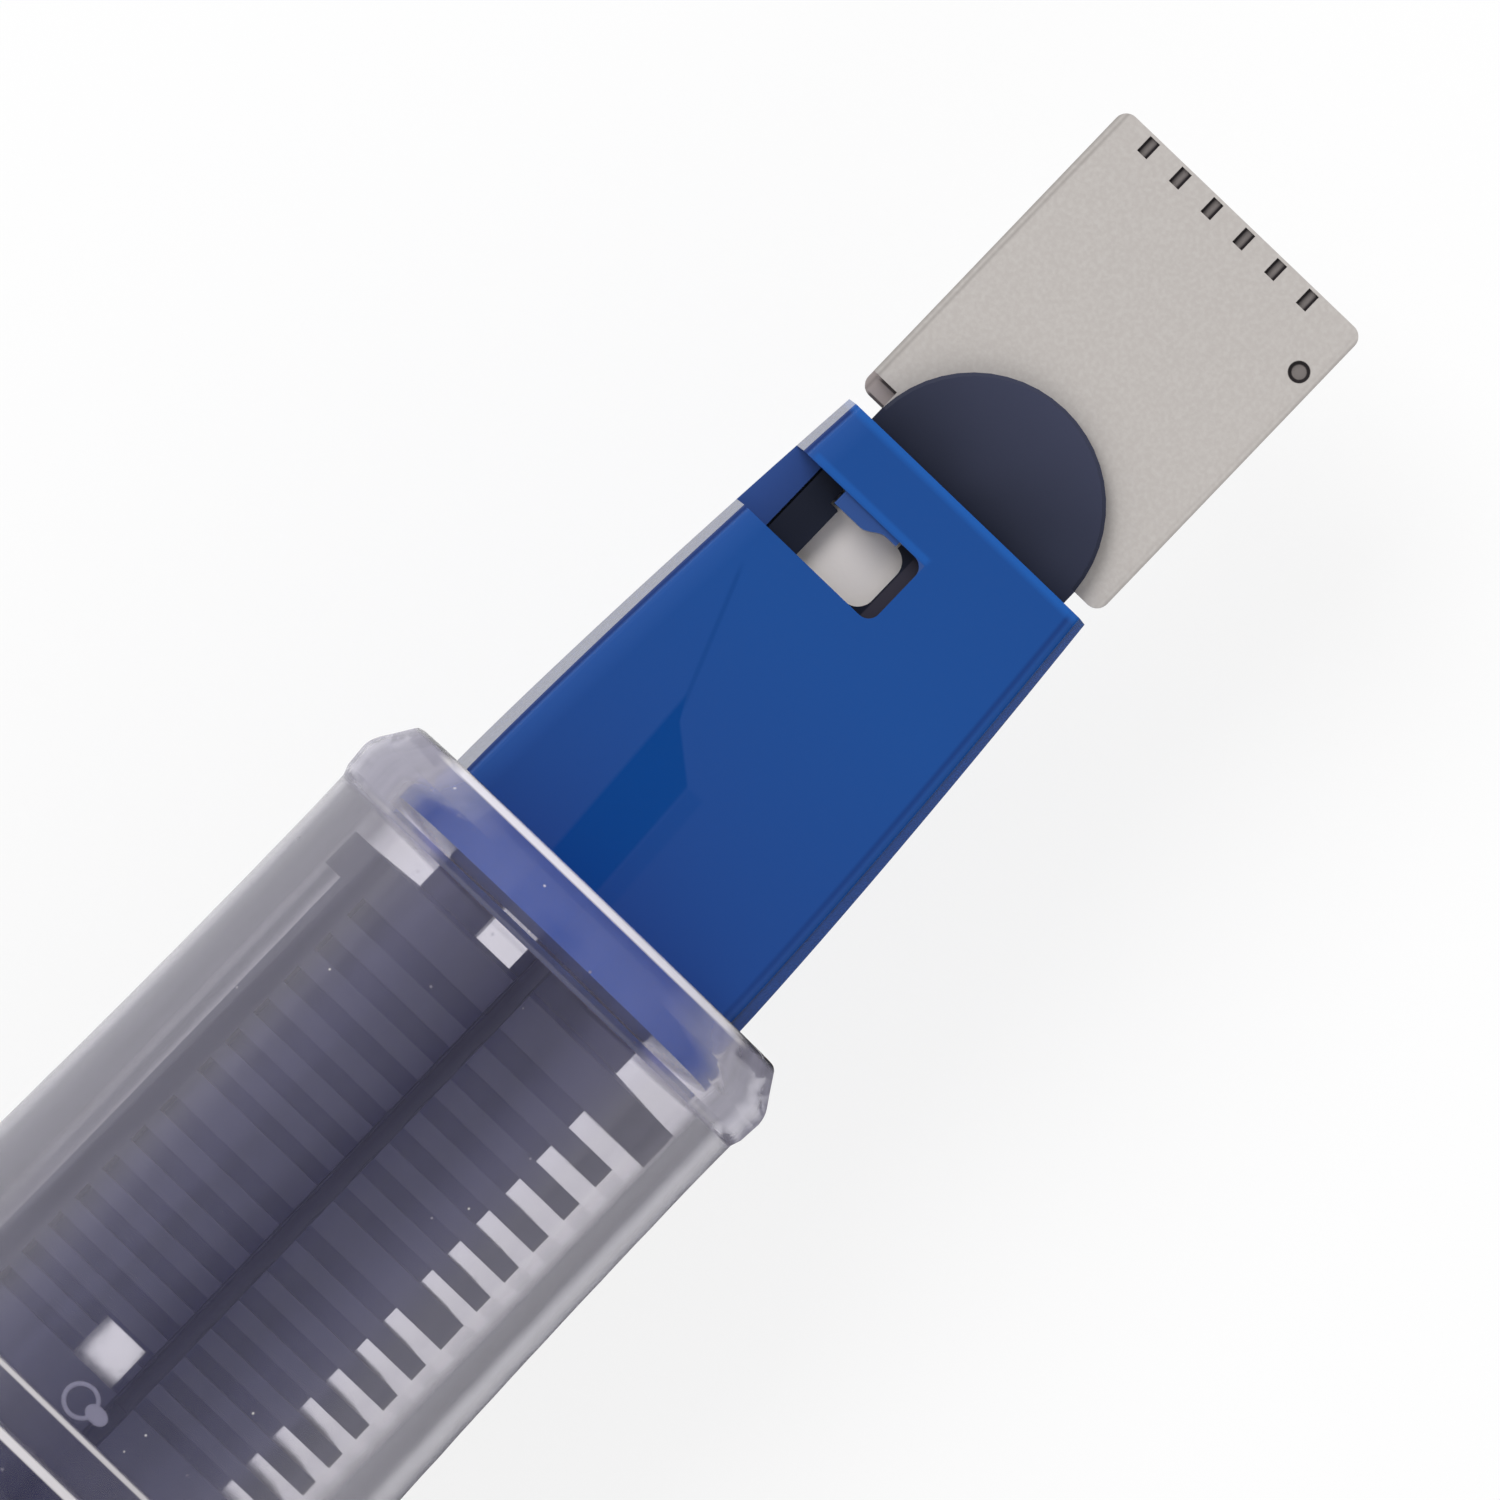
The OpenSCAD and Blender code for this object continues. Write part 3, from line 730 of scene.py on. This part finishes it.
        # Painted shade band along the rounded edge on the far side.
        edge_band_shade = recipe.product(
            recipe.rest(open_side),
            recipe.between(inset, *self.edge_band_shade_mm),
            self.edge_band_shade_share,
        )
        tone = recipe.blend(edge_band_shade, tone, self.edge_band_shade)
        # Painted shade line at the face's edge on the window's side.
        line = recipe.product(open_side, recipe.remap(inset, *self.edge_line_shade_share))
        tone = recipe.blend(line, tone, self.line)
        # Painted light on one side wall and painted shade on the other.
        wall = recipe.blend(open_side, self.lit_wall, self.shaded_wall)
        return recipe.blend(recipe.remap(inset, *self.wall_share), tone, wall)

    def dark_reflection_line(self, recipe: Recipe, along: Socket, face_side: Socket) -> Socket:
        """Masks the thin line of painted dark reflection that runs back from the window's
        corner.

        Args:
            recipe: The material under construction.
            along: Station in mm.
            face_side: Distance from the middle towards the window's side in mm.

        Returns:
            The mask.
        """
        side = self.reflection_line_side_mm + self.reflection_line_slope * self.reflection_line_mm[0]
        line = recipe.math("MULTIPLY_ADD", along, -self.reflection_line_slope, side)
        gap = recipe.math("ABSOLUTE", recipe.math("SUBTRACT", face_side, line))
        return recipe.product(
            recipe.remap(gap, *self.reflection_line_share), recipe.between(along, *self.reflection_line_mm)
        )

    def dark_reflection_patch(self, recipe: Recipe, along: Socket, face_side: Socket) -> Socket:
        """Masks the painted dark reflection over the feed's ribs.

        Args:
            recipe: The material under construction.
            along: Station in mm.
            face_side: Distance from the middle towards the window's side in mm.

        Returns:
            The mask.
        """
        near, middle, far = self.reflection_fronts_mm
        low, high, _ = self.reflection_sides_mm
        drift = recipe.math("SUBTRACT", along, far)
        face_side = recipe.math("MULTIPLY_ADD", drift, self.reflection_drift, face_side)
        kink = low + (high - low) * self.reflection_kink
        front = recipe.math(
            "ADD",
            recipe.remap(face_side, (low, near - middle), (kink, 0.0)),
            recipe.remap(face_side, (kink, middle), (high, far)),
        )
        behind = recipe.remap(recipe.math("SUBTRACT", along, front), *self.reflection_front)
        sides = recipe.between(face_side, *self.reflection_sides_mm)
        streak = recipe.between(face_side, *self.streak_mm)
        faint = recipe.product(streak, self.streak_share)
        return recipe.product(behind, recipe.math("MAXIMUM", sides, faint))


@dataclass(frozen=True)
class FrostedFinish:
    """Clear moulding with a soft frost that is milkier in the lip."""

    tint: str = "f4f2f6"
    haze: str = "b9b6c8"
    thin_haze: str = "a8a6e2"
    shine: str = "f4f0f4"
    ior: float = 1.49
    # Haze of the body and of the lip: face on, growth towards the edge, most and least.
    body_haze: tuple[float, float, float, float] = (0.051, 0.8, 0.22, 0.051)
    lip_haze: tuple[float, float, float, float] = (-0.36, 1.8, 0.45, 0.068)
    lip_share: Ramp = ((18.4, 1.0), (18.7, 0.0))
    outside: Ramp = ((4.45, 0.0), (4.55, 1.0))
    frost_stretch: float = 0.35
    frost_per_mm: float = 2.2
    frost_detail: float = 4.0
    frost_roughness: Ramp = ((0.3, 0.03), (0.7, 0.07))
    frost_share: Ramp = ((0.3, 0.96), (0.7, 1.04))
    streak_stretch: float = 0.04
    streaks_per_mm: float = 1.3
    streak_share: Ramp = ((0.35, 0.85), (0.6, 1.15))
    streak_mm: float = 0.002
    streak_strength: float = 0.4
    grain_per_mm: float = 9.0
    worn: Ramp = ((25.0, 0.0), (31.0, 0.2))
    specks_per_mm: float = 1.2
    speck_share: Ramp = ((0.02, 0.5), (0.05, 0.0))
    # Rings of painted highlight: start, end, share and half width, mm.
    highlight_rings_mm: tuple[tuple[float, float, float, float], ...] = (
        (17.02, 17.17, 0.75, 3.6),
        (18.5, 18.6, 0.12, 4.2),
        (30.55, 30.65, 0.5, 4.2),
        (30.65, 31.4, 0.07, 4.2),
        (31.45, 31.62, 0.6, 4.2),
    )
    line_soft_mm: float = 0.05
    line_fade_mm: float = 0.3
    line_shine: Ramp = ((0.0, 0.0), (0.3, 1.0))
    # A stripe of painted light along one side of the body.
    light_stripe_mm: Band = (-4.02, -3.58, 0.12)
    light_stripe_along_mm: Band = (20.0, 30.5, 0.1)
    light_stripe_share: float = 0.1
    step_mm: Band = (18.38, 18.62, 0.06)
    step_share: Ramp = ((2.3, 0.0), (2.8, 0.35))

    def build(self) -> bpy.types.Material:
        """Builds the material.

        Returns:
            The frosted material.
        """
        recipe = Recipe("frosted_clear")
        recipe.set(Transmission_Weight=1.0, IOR=self.ior, Base_Color=srgb(self.tint))
        along, across, above = recipe.axes()
        off_middle = recipe.math("ABSOLUTE", across)
        outside = recipe.remap(recipe.reach(across, above), *self.outside)
        frost = recipe.noise(
            recipe.place(self.frost_stretch), self.frost_per_mm, self.frost_detail
        )
        streaks = recipe.noise(recipe.place(self.streak_stretch), self.streaks_per_mm)
        grain = recipe.noise(recipe.place(), self.grain_per_mm)
        worn = recipe.remap(along, *self.worn)
        clean = recipe.remap(frost, *self.frost_roughness)
        recipe.drive(Roughness=recipe.math("MULTIPLY_ADD", grain, worn, clean))
        recipe.bump(streaks, self.streak_mm, self.streak_strength)
        milky = self.milk(recipe, along)
        share = recipe.product(
            milky,
            recipe.remap(frost, *self.frost_share),
            recipe.remap(streaks, *self.streak_share),
            outside,
        )
        step = recipe.product(
            recipe.between(along, *self.step_mm),
            recipe.remap(off_middle, *self.step_share),
        )
        share = recipe.math("MAXIMUM", share, step)
        # Painted light: a milky stripe along one side.
        light_stripe = recipe.product(
            recipe.between(across, *self.light_stripe_mm),
            recipe.between(along, *self.light_stripe_along_mm),
            outside,
            self.light_stripe_share,
        )
        dust_and_painted_light = recipe.math("MAXIMUM", self.specks_and_highlight_rings(recipe, along, off_middle), light_stripe)
        share = recipe.math("MAXIMUM", share, dust_and_painted_light, clamp=True)
        thick = recipe.remap(milky, (self.lip_haze[3], 0.0), (self.body_haze[2], 1.0))
        tone = recipe.blend(thick, self.thin_haze, self.haze)
        # Painted highlight colour on the rings and on the brightest specks.
        tone = recipe.blend(recipe.remap(dust_and_painted_light, *self.line_shine), tone, self.shine)
        milk = recipe.node("ShaderNodeBsdfDiffuse")
        recipe.join(tone, milk.inputs["Color"])
        recipe.surface(share, recipe.shader, milk, "Material Output")
        return recipe.material

    def milk(self, recipe: Recipe, along: Socket) -> Socket:
        """Works out the haze, which grows towards the moulding's edges.

        Args:
            recipe: The material under construction.
            along: Station in mm.

        Returns:
            The share of haze.
        """
        in_lip = recipe.remap(along, *self.lip_share)
        flat, steep, most, least = (
            recipe.remap(in_lip, (0.0, body), (1.0, lip))
            for body, lip in zip(self.body_haze, self.lip_haze)
        )
        facing = recipe.node("ShaderNodeLayerWeight").outputs["Facing"]
        milky = recipe.math("MULTIPLY_ADD", facing, steep, flat)
        return recipe.math("MAXIMUM", recipe.math("MINIMUM", milky, most), least)

    def specks_and_highlight_rings(self, recipe: Recipe, along: Socket, off_middle: Socket) -> Socket:
        """Masks the dust specks and the rings of painted highlight.

        Args:
            recipe: The material under construction.
            along: Station in mm.
            off_middle: Distance from the middle in mm.

        Returns:
            The mask.
        """
        specks = recipe.node("ShaderNodeTexVoronoi")
        specks.inputs["Scale"].default_value = self.specks_per_mm / MM
        recipe.join(recipe.place(), specks.inputs["Vector"])
        dust_and_painted_light = recipe.remap(specks.outputs["Distance"], *self.speck_share)
        fade = self.line_fade_mm
        for low, high, share, half in self.highlight_rings_mm:
            line = recipe.product(
                recipe.between(along, low, high, self.line_soft_mm),
                recipe.remap(off_middle, (half - fade, share), (half + fade, 0.0)),
            )
            dust_and_painted_light = recipe.math("MAXIMUM", dust_and_painted_light, line)
        return dust_and_painted_light


@dataclass(frozen=True)
class ClearFinish:
    """Thin polished clear wall."""

    tint: str = "e9ebf4"
    ior: float = 1.45
    streak_stretch: float = 0.1
    streaks_per_mm: float = 1.5
    streak_roughness: Ramp = ((0.3, 0.06), (0.7, 0.14))
    streak_mm: float = 0.004
    streak_strength: float = 0.4

    def build(self) -> bpy.types.Material:
        """Builds the material.

        Returns:
            The clear material.
        """
        recipe = Recipe("polished_clear")
        recipe.set(Transmission_Weight=1.0, IOR=self.ior, Base_Color=srgb(self.tint))
        streaks = recipe.noise(recipe.place(self.streak_stretch), self.streaks_per_mm)
        recipe.drive(Roughness=recipe.remap(streaks, *self.streak_roughness))
        recipe.bump(streaks, self.streak_mm, self.streak_strength)
        return recipe.material


@dataclass(frozen=True)
class InkFinish:
    """Wet blue-black ink."""

    deep: str = "0d1230"
    thin: str = "1a2450"
    roughness: float = 0.08
    pools_per_mm: float = 0.3
    pool_share: Ramp = ((0.35, 0.0), (0.7, 1.0))

    def build(self) -> bpy.types.Material:
        """Builds the material.

        Returns:
            The ink material.
        """
        recipe = Recipe("wet_ink")
        recipe.set(Roughness=self.roughness)
        pools = recipe.noise(recipe.place(), self.pools_per_mm)
        share = recipe.remap(pools, *self.pool_share)
        recipe.drive(Base_Color=recipe.blend(share, self.deep, self.thin))
        return recipe.material


def finish_piece(
    shape: bmesh.types.BMesh,
    name: str,
    material: bpy.types.Material,
    body: Body,
) -> None:
    """Turns a shape into a piece of the pen.

    Args:
        shape: The finished geometry, in the model's frame.
        name: Name of the piece.
        material: Its finish.
        body: The body that it rides on.
    """
    bmesh.ops.remove_doubles(shape, verts=shape.verts, dist=WELD_DISTANCE)
    bmesh.ops.recalc_face_normals(shape, faces=shape.faces)
    mesh = bpy.data.meshes.new(name)
    shape.to_mesh(mesh)
    shape.free()
    mesh.polygons.foreach_set("use_smooth", [True] * len(mesh.polygons))
    mesh.set_sharp_from_angle(angle=SHARP_ANGLE)
    mesh.update()
    mesh.materials.append(material)
    piece = bpy.data.objects.new(name, mesh)
    bpy.context.scene.collection.objects.link(piece)
    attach(piece, body.value)
    LOG.info("%s: %d faces, rides on %s", name, len(mesh.polygons), body.value)


def dress(material: bpy.types.Material, *nodes: str) -> None:
    """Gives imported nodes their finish.

    Args:
        material: The finish.
        *nodes: Names of the nodes.
    """
    for node in nodes:
        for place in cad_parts[node].material_slots:
            place.material = material
        LOG.info("%s: dressed in %s", node, material.name)


@dataclass(frozen=True)
class Thread:
    """One thread ridge round the pen, with sizes in mm."""

    start: float
    radius: float
    height: float
    width: float
    pitch: float
    turns: float
    root_sink: float = 0.05
    crest_share: float = 0.18
    steps_a_turn: int = 72

    def build(self) -> bmesh.types.BMesh:
        """Spins the ridge's profile towards the tail.

        Returns:
            The closed ridge.
        """
        root = self.radius - self.root_sink
        top = self.radius + self.height
        crest = self.width * self.crest_share
        outline = [
            (-self.width / 2, root),
            (-crest / 2, top),
            (crest / 2, top),
            (self.width / 2, root),
        ]
        shape = bmesh.new()
        corners = [
            shape.verts.new((station(self.start + u), 0.0, r * MM)) for u, r in outline
        ]
        face = shape.faces.new(corners)
        steps = round(self.turns * self.steps_a_turn)
        bmesh.ops.spin(
            shape,
            geom=[face] + list(face.edges) + corners,
            cent=(0.0, 0.0, 0.0),
            axis=AXIS_X,
            dvec=(-self.pitch * MM * self.turns / steps, 0.0, 0.0),
            angle=math.tau * self.turns,
            steps=steps,
            use_merge=False,
        )
        return shape


@dataclass
class NibUnit:
    """Plates, feed, blue holder and ink comb, with sizes in mm."""

    gate_station: float = 30.12
    gate_side: float = 0.4
    gate_radius: float = 0.31
    gate_wire: float = 0.045
    gate_segments: int = 10
    gate_steps: int = 40
    burr_side: float = 0.05
    burr_radius: float = 0.17
    burr_height: float = 0.04
    burr_stretch: float = 1.25
    burr_subdivisions: int = 3
    comb_radius: float = 4.01
    steel: SteelFinish = field(default_factory=SteelFinish)
    feed: FeedFinish = field(default_factory=FeedFinish)
    # The comb's middle and core darkening is painted shade around the middle groove and in
    # the slots between its fins.
    comb: FeedFinish = FeedFinish(
        "satin_comb",
        front="474862",
        rear="444660",
        front_mm=18.0,
        rear_mm=30.0,
        middle_shade=0.25,
        core_mm=3.75,
        core_shade=0.9,
        gloss=0.41,
    )
    # The strip's middle darkening is painted shade.
    strip: FeedFinish = FeedFinish(
        "satin_strip",
        front="7c7ca0",
        rear="7c7ca0",
        front_mm=18.0,
        rear_mm=30.0,
        middle_mm=-0.08,
        middle_shade=0.4,
        middle_reach_mm=(0.03, 0.2),
    )
    # The gate witness ring and burr are real marks, coloured near white as a painted
    # highlight.
    gate: FeedFinish = FeedFinish(
        "gate_painted_highlight", front="e4e2f4", rear="dcdcf2", front_mm=18.0, rear_mm=30.0
    )
    blue: HolderFinish = field(default_factory=HolderFinish)

    def dress(self) -> None:
        """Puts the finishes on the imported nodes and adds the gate's marks."""
        dress(self.steel.build(), "nib_plate_top", "nib_plate_bottom")
        dress(self.feed.build(), "feed_half_top", "feed_half_bottom")
        dress(self.comb.build(), "ink_collector", "cartridge_nipple")
        dress(self.strip.build(), "feed_strip")
        dress(self.blue.build(), "nib_holder")
        gate = self.gate.build()
        self.land(self.gate_mark(), self.gate_side, "comb_gate_mark", gate)
        self.land(self.gate_burr(), self.burr_side, "comb_gate_burr", gate)

    def gate_mark(self) -> bmesh.types.BMesh:
        """Turns the round gate witness.

        Returns:
            The ring, round the origin.
        """
        shape = bmesh.new()
        wire = bmesh.ops.create_circle(
            shape, segments=self.gate_segments, radius=self.gate_wire * MM
        )["verts"]
        bmesh.ops.transform(
            shape,
            verts=wire,
            matrix=Matrix.Translation(AXIS_X * self.gate_radius * MM)
            @ Matrix.Rotation(math.pi / 2, 4, "X"),
        )
        bmesh.ops.spin(
            shape,
            geom=list(shape.verts) + list(shape.edges),
            cent=(0.0, 0.0, 0.0),
            axis=AXIS_Z,
            angle=math.tau,
            steps=self.gate_steps,
            use_merge=True,
        )
        return shape

    def gate_burr(self) -> bmesh.types.BMesh:
        """Flattens the small burr beside the gate witness.

        Returns:
            The burr, round the origin.
        """
        shape = bmesh.new()
        bmesh.ops.create_icosphere(
            shape, subdivisions=self.burr_subdivisions, radius=self.burr_radius * MM
        )
        flat = (1.0, self.burr_stretch, self.burr_height / self.burr_radius)
        bmesh.ops.scale(shape, verts=shape.verts, vec=flat)
        return shape

    def land(
        self, shape: bmesh.types.BMesh, side: float, name: str, material: bpy.types.Material
    ) -> None:
        """Sets a mark on the comb's rear land.

        Args:
            shape: The mark, round the origin.
            side: Its distance from the middle.
            name: Name of the piece.
            material: The mark's finish.
        """
        height = math.sqrt(self.comb_radius**2 - side**2)
        spot = (station(self.gate_station), side * MM, height * MM)
        bmesh.ops.translate(shape, verts=shape.verts, vec=spot)
        finish_piece(shape, name, material, Body.NIB_UNIT)


@dataclass
class GripSection:
    """Frosted clear grip with its trim ring and barrel thread."""

    thread: Thread = Thread(
        start=39.9, radius=4.6, height=0.28, width=0.62, pitch=0.9, turns=4.6
    )
    frosted: FrostedFinish = field(default_factory=FrostedFinish)
    ring: GlossFinish = GlossFinish("gloss_blue_ring", body="214a97", deep="1c4288")

    def dress(self) -> None:
        """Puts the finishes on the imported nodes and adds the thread."""
        clear = self.frosted.build()
        dress(clear, "grip_section")
        dress(self.ring.build(), "section_ring")
        ridge = self.thread.build()
        finish_piece(ridge, "section_thread", clear, Body.SECTION)


@dataclass
class Cartridge:
    """Clear cartridge with ink up to a level, with sizes in mm."""

    front: float = 38.5
    rear: float = 78.2
    bore_radius: float = 3.02
    level: float = 0.6
    segments: int = 96
    clear: ClearFinish = field(default_factory=ClearFinish)
    ink: InkFinish = field(default_factory=InkFinish)
    seal: GlossFinish = GlossFinish(
        "white_disc", body="dcdcdf", deep="d2d2d6", sheen=Sheen(roughness=0.3)
    )

    def dress(self) -> None:
        """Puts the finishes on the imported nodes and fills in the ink."""
        dress(self.clear.build(), "cartridge_body")
        dress(self.seal.build(), "cartridge_seal_disc")
        self.fill()

    def fill(self) -> None:
        """Pours the ink as a cylinder cut level."""
        shape = bmesh.new()
        bmesh.ops.create_cone(
            shape,
            cap_ends=True,
            segments=self.segments,
            radius1=self.bore_radius * MM,
            radius2=self.bore_radius * MM,
            depth=(self.rear - self.front) * MM,
        )
        lying = Matrix.Rotation(math.pi / 2, 3, "Y")
        bmesh.ops.rotate(shape, verts=shape.verts, matrix=lying)
        middle = (station((self.front + self.rear) / 2), 0.0, 0.0)
        bmesh.ops.translate(shape, verts=shape.verts, vec=middle)
        cut = bmesh.ops.bisect_plane(
            shape,
            geom=list(shape.verts) + list(shape.edges) + list(shape.faces),
            plane_co=AXIS_Z * self.level * MM,
            plane_no=AXIS_Z,
            clear_outer=True,
        )
        rim = [e for e in cut["geom_cut"] if isinstance(e, bmesh.types.BMEdge)]
        bmesh.ops.edgeloop_fill(shape, edges=rim)
        ink = self.ink.build()
        finish_piece(shape, "cartridge_ink", ink, Body.CARTRIDGE)


@dataclass
class Barrel:
    """Black tapered barrel with the cap's thread on its spigot."""

    thread: Thread = Thread(
        start=39.2, radius=5.9, height=0.22, width=0.8, pitch=1.5, turns=3.2
    )
    black: GlossFinish = GlossFinish(
        "gloss_black", body="1b1b1e", deep="161619", sheen=Sheen(roughness=0.2)
    )

    def dress(self) -> None:
        """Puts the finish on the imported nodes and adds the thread."""
        black = self.black.build()
        dress(black, "barrel", "tail_plug")
        finish_piece(self.thread.build(), "cap_thread", black, Body.BARREL)


@dataclass(frozen=True)
class Softbox:
    """A round lamp, with sizes in metres and power in watts."""

    name: str
    place: Triple
    size: float
    power: float

    def hang(self, aim: Vector) -> None:
        """Hangs the lamp where reflections and clear pieces don't show it.

        Args:
            aim: The point that it faces.
        """
        lamp = bpy.data.lights.new(self.name, "AREA")
        lamp.shape = "DISK"
        lamp.size = self.size
        lamp.energy = self.power
        holder = bpy.data.objects.new(self.name, lamp)
        holder.location = self.place
        facing = aim - Vector(self.place)
        holder.rotation_euler = facing.to_track_quat("-Z", "Y").to_euler()
        holder.visible_glossy = False
        holder.visible_transmission = False
        bpy.context.scene.collection.objects.link(holder)


@dataclass
class Studio:
    """White surface, soft light and the camera over the nib."""

    # Brightness of the tent by the height of the direction, from level to straight up.
    tent: tuple[Span, ...] = (
        (0.0, 0.4),
        (0.3, 0.6),
        (0.7, 0.8),
        (0.95, 0.7),
        (0.985, 0.5),
        (0.998, 0.22),
        (1.0, 0.2),
    )
    tent_side: Ramp = ((-1.0, 0.85), (1.0, 1.05))
    gloss_share: float = 0.5
    sky: float = 0.92
    lamps: tuple[Softbox, ...] = (
        Softbox("key", place=(0.16, 0.30, 0.42), size=0.30, power=1.4),
        Softbox("fill", place=(-0.10, -0.35, 0.30), size=0.40, power=0.4),
    )
    aim: Vector = field(default_factory=lambda: Vector((0.03, 0.0, 0.0)))
    floor_height: float = -0.0071
    floor_reach: float = 25.0
    floor_grey: float = 0.9
    floor_roughness: float = 0.9
    floor_glow: float = 0.8
    # The floor's glow across the pen, mm: as mirrored, and as seen through clear pieces.
    mirrored_glow: Ramp = ((-5.0, 0.05), (4.0, 0.8))
    left_glow: Ramp = ((4.6, 1.0), (6.5, 0.0))
    right_glow: Ramp = ((-9.6, 0.12), (-7.3, 1.0))
    lens: float = 1600.0
    sensor: float = 36.0
    clip: Span = (0.002, 20.0)
    field_mm: float = 27.27
    turn: float = math.radians(43.8)
    lean: float = math.radians(-0.65)
    centre: Vector = field(
        default_factory=lambda: Vector((station(13.16), -0.15 * MM, 0.3 * MM))
    )

    def build(self) -> None:
        """Builds the floor, the light and the camera."""
        bpy.context.scene.view_settings.view_transform = "Standard"
        self.build_floor()
        self.build_world()
        for lamp in self.lamps:
            lamp.hang(self.aim)
        self.build_camera()

    def build_floor(self) -> None:
        """Lays the white surface, which shows white but still takes the shadow."""
        shape = bmesh.new()
        bmesh.ops.create_grid(shape, x_segments=1, y_segments=1, size=self.floor_reach)
        bmesh.ops.translate(shape, verts=shape.verts, vec=AXIS_Z * self.floor_height)
        mesh = bpy.data.meshes.new("floor")
        shape.to_mesh(mesh)
        shape.free()
        floor = bpy.data.objects.new("floor", mesh)
        bpy.context.scene.collection.objects.link(floor)
        mesh.materials.append(self.white_surface())

    def white_surface(self) -> bpy.types.Material:
        """Builds the floor's finish.

        Returns:
            The material.
        """
        recipe = Recipe("white_surface")
        grey = self.floor_grey
        recipe.set(Base_Color=(grey, grey, grey, 1.0), Roughness=self.floor_roughness)
        path = recipe.node("ShaderNodeLightPath")
        mirrored = recipe.mirrored(path)
        through = path.outputs["Is Transmission Ray"]
        seen = recipe.math("MAXIMUM", path.outputs["Is Camera Ray"], through)
        share = recipe.math("MAXIMUM", recipe.product(seen, self.floor_glow), mirrored)
        across = recipe.axes()[1]
        side = recipe.remap(across, *self.mirrored_glow)
        under = recipe.math(
            "MINIMUM",
            recipe.remap(across, *self.left_glow),
            recipe.remap(across, *self.right_glow),
        )
        level = recipe.math(
            "MULTIPLY_ADD", recipe.math("SUBTRACT", under, 1.0), through, 1.0
        )
        level = recipe.math(
            "MULTIPLY_ADD", recipe.math("SUBTRACT", side, level), mirrored, level
        )
        glow = recipe.node("ShaderNodeEmission")
        recipe.join(level, glow.inputs["Strength"])
        recipe.surface(share, recipe.shader, glow, "Material Output")
        return recipe.material

    def build_world(self) -> None:
        """Surrounds the pen with a light tent that is darker round the camera."""
        world = bpy.data.worlds.new("light_tent")
        bpy.context.scene.world = world
        world.use_nodes = True
        graph = Graph(world.node_tree)
        coordinates = graph.node("ShaderNodeTexCoord")
        split = graph.node("ShaderNodeSeparateXYZ")
        graph.join(coordinates.outputs["Generated"], split.inputs["Vector"])
        rise = graph.node("ShaderNodeValToRGB")
        stops = rise.color_ramp.elements
        for place, _ in self.tent[1:-1]:
            stops.new(place)
        for stop, (place, level) in zip(stops, self.tent):
            stop.position = place
            stop.color = (level, level, level, 1.0)
        graph.join(split.outputs["Z"], rise.inputs["Fac"])
        path = graph.node("ShaderNodeLightPath")
        side = graph.remap(split.outputs["Y"], *self.tent_side)
        dim = graph.remap(graph.mirrored(path), (0.0, 1.0), (1.0, self.gloss_share))
        tent = world.node_tree.nodes["Background"]
        graph.join(rise.outputs["Color"], tent.inputs["Color"])
        graph.join(graph.product(side, dim), tent.inputs["Strength"])
        white = graph.node("ShaderNodeBackground")
        white.inputs["Color"].default_value = (self.sky, self.sky, self.sky, 1.0)
        graph.surface(path.outputs["Is Camera Ray"], tent, white, "World Output")

    def build_camera(self) -> None:
        """Hangs the camera over the nib, turned so that the tip points up to the right."""
        camera = bpy.data.cameras.new("camera")
        camera.lens = self.lens
        camera.sensor_width = self.sensor
        camera.clip_start, camera.clip_end = self.clip
        holder = bpy.data.objects.new("camera", camera)
        distance = self.lens / self.sensor * self.field_mm * MM
        upright = Matrix.Rotation(self.lean, 4, "Y") @ Matrix.Rotation(
            self.turn - math.pi / 2, 4, "Z"
        )
        away = upright.to_3x3() @ AXIS_Z
        holder.matrix_world = Matrix.Translation(self.centre + away * distance) @ upright
        bpy.context.scene.collection.objects.link(holder)
        bpy.context.scene.camera = holder


def main() -> None:
    """Builds the studio and every sub-assembly, and logs what it builds."""
    logging.basicConfig(level=logging.INFO, format="%(name)s %(message)s")
    Studio().build()
    for part in (NibUnit(), GripSection(), Cartridge(), Barrel()):
        part.dress()
        LOG.info("%s done", type(part).__name__)


if __name__ == "__main__":
    main()
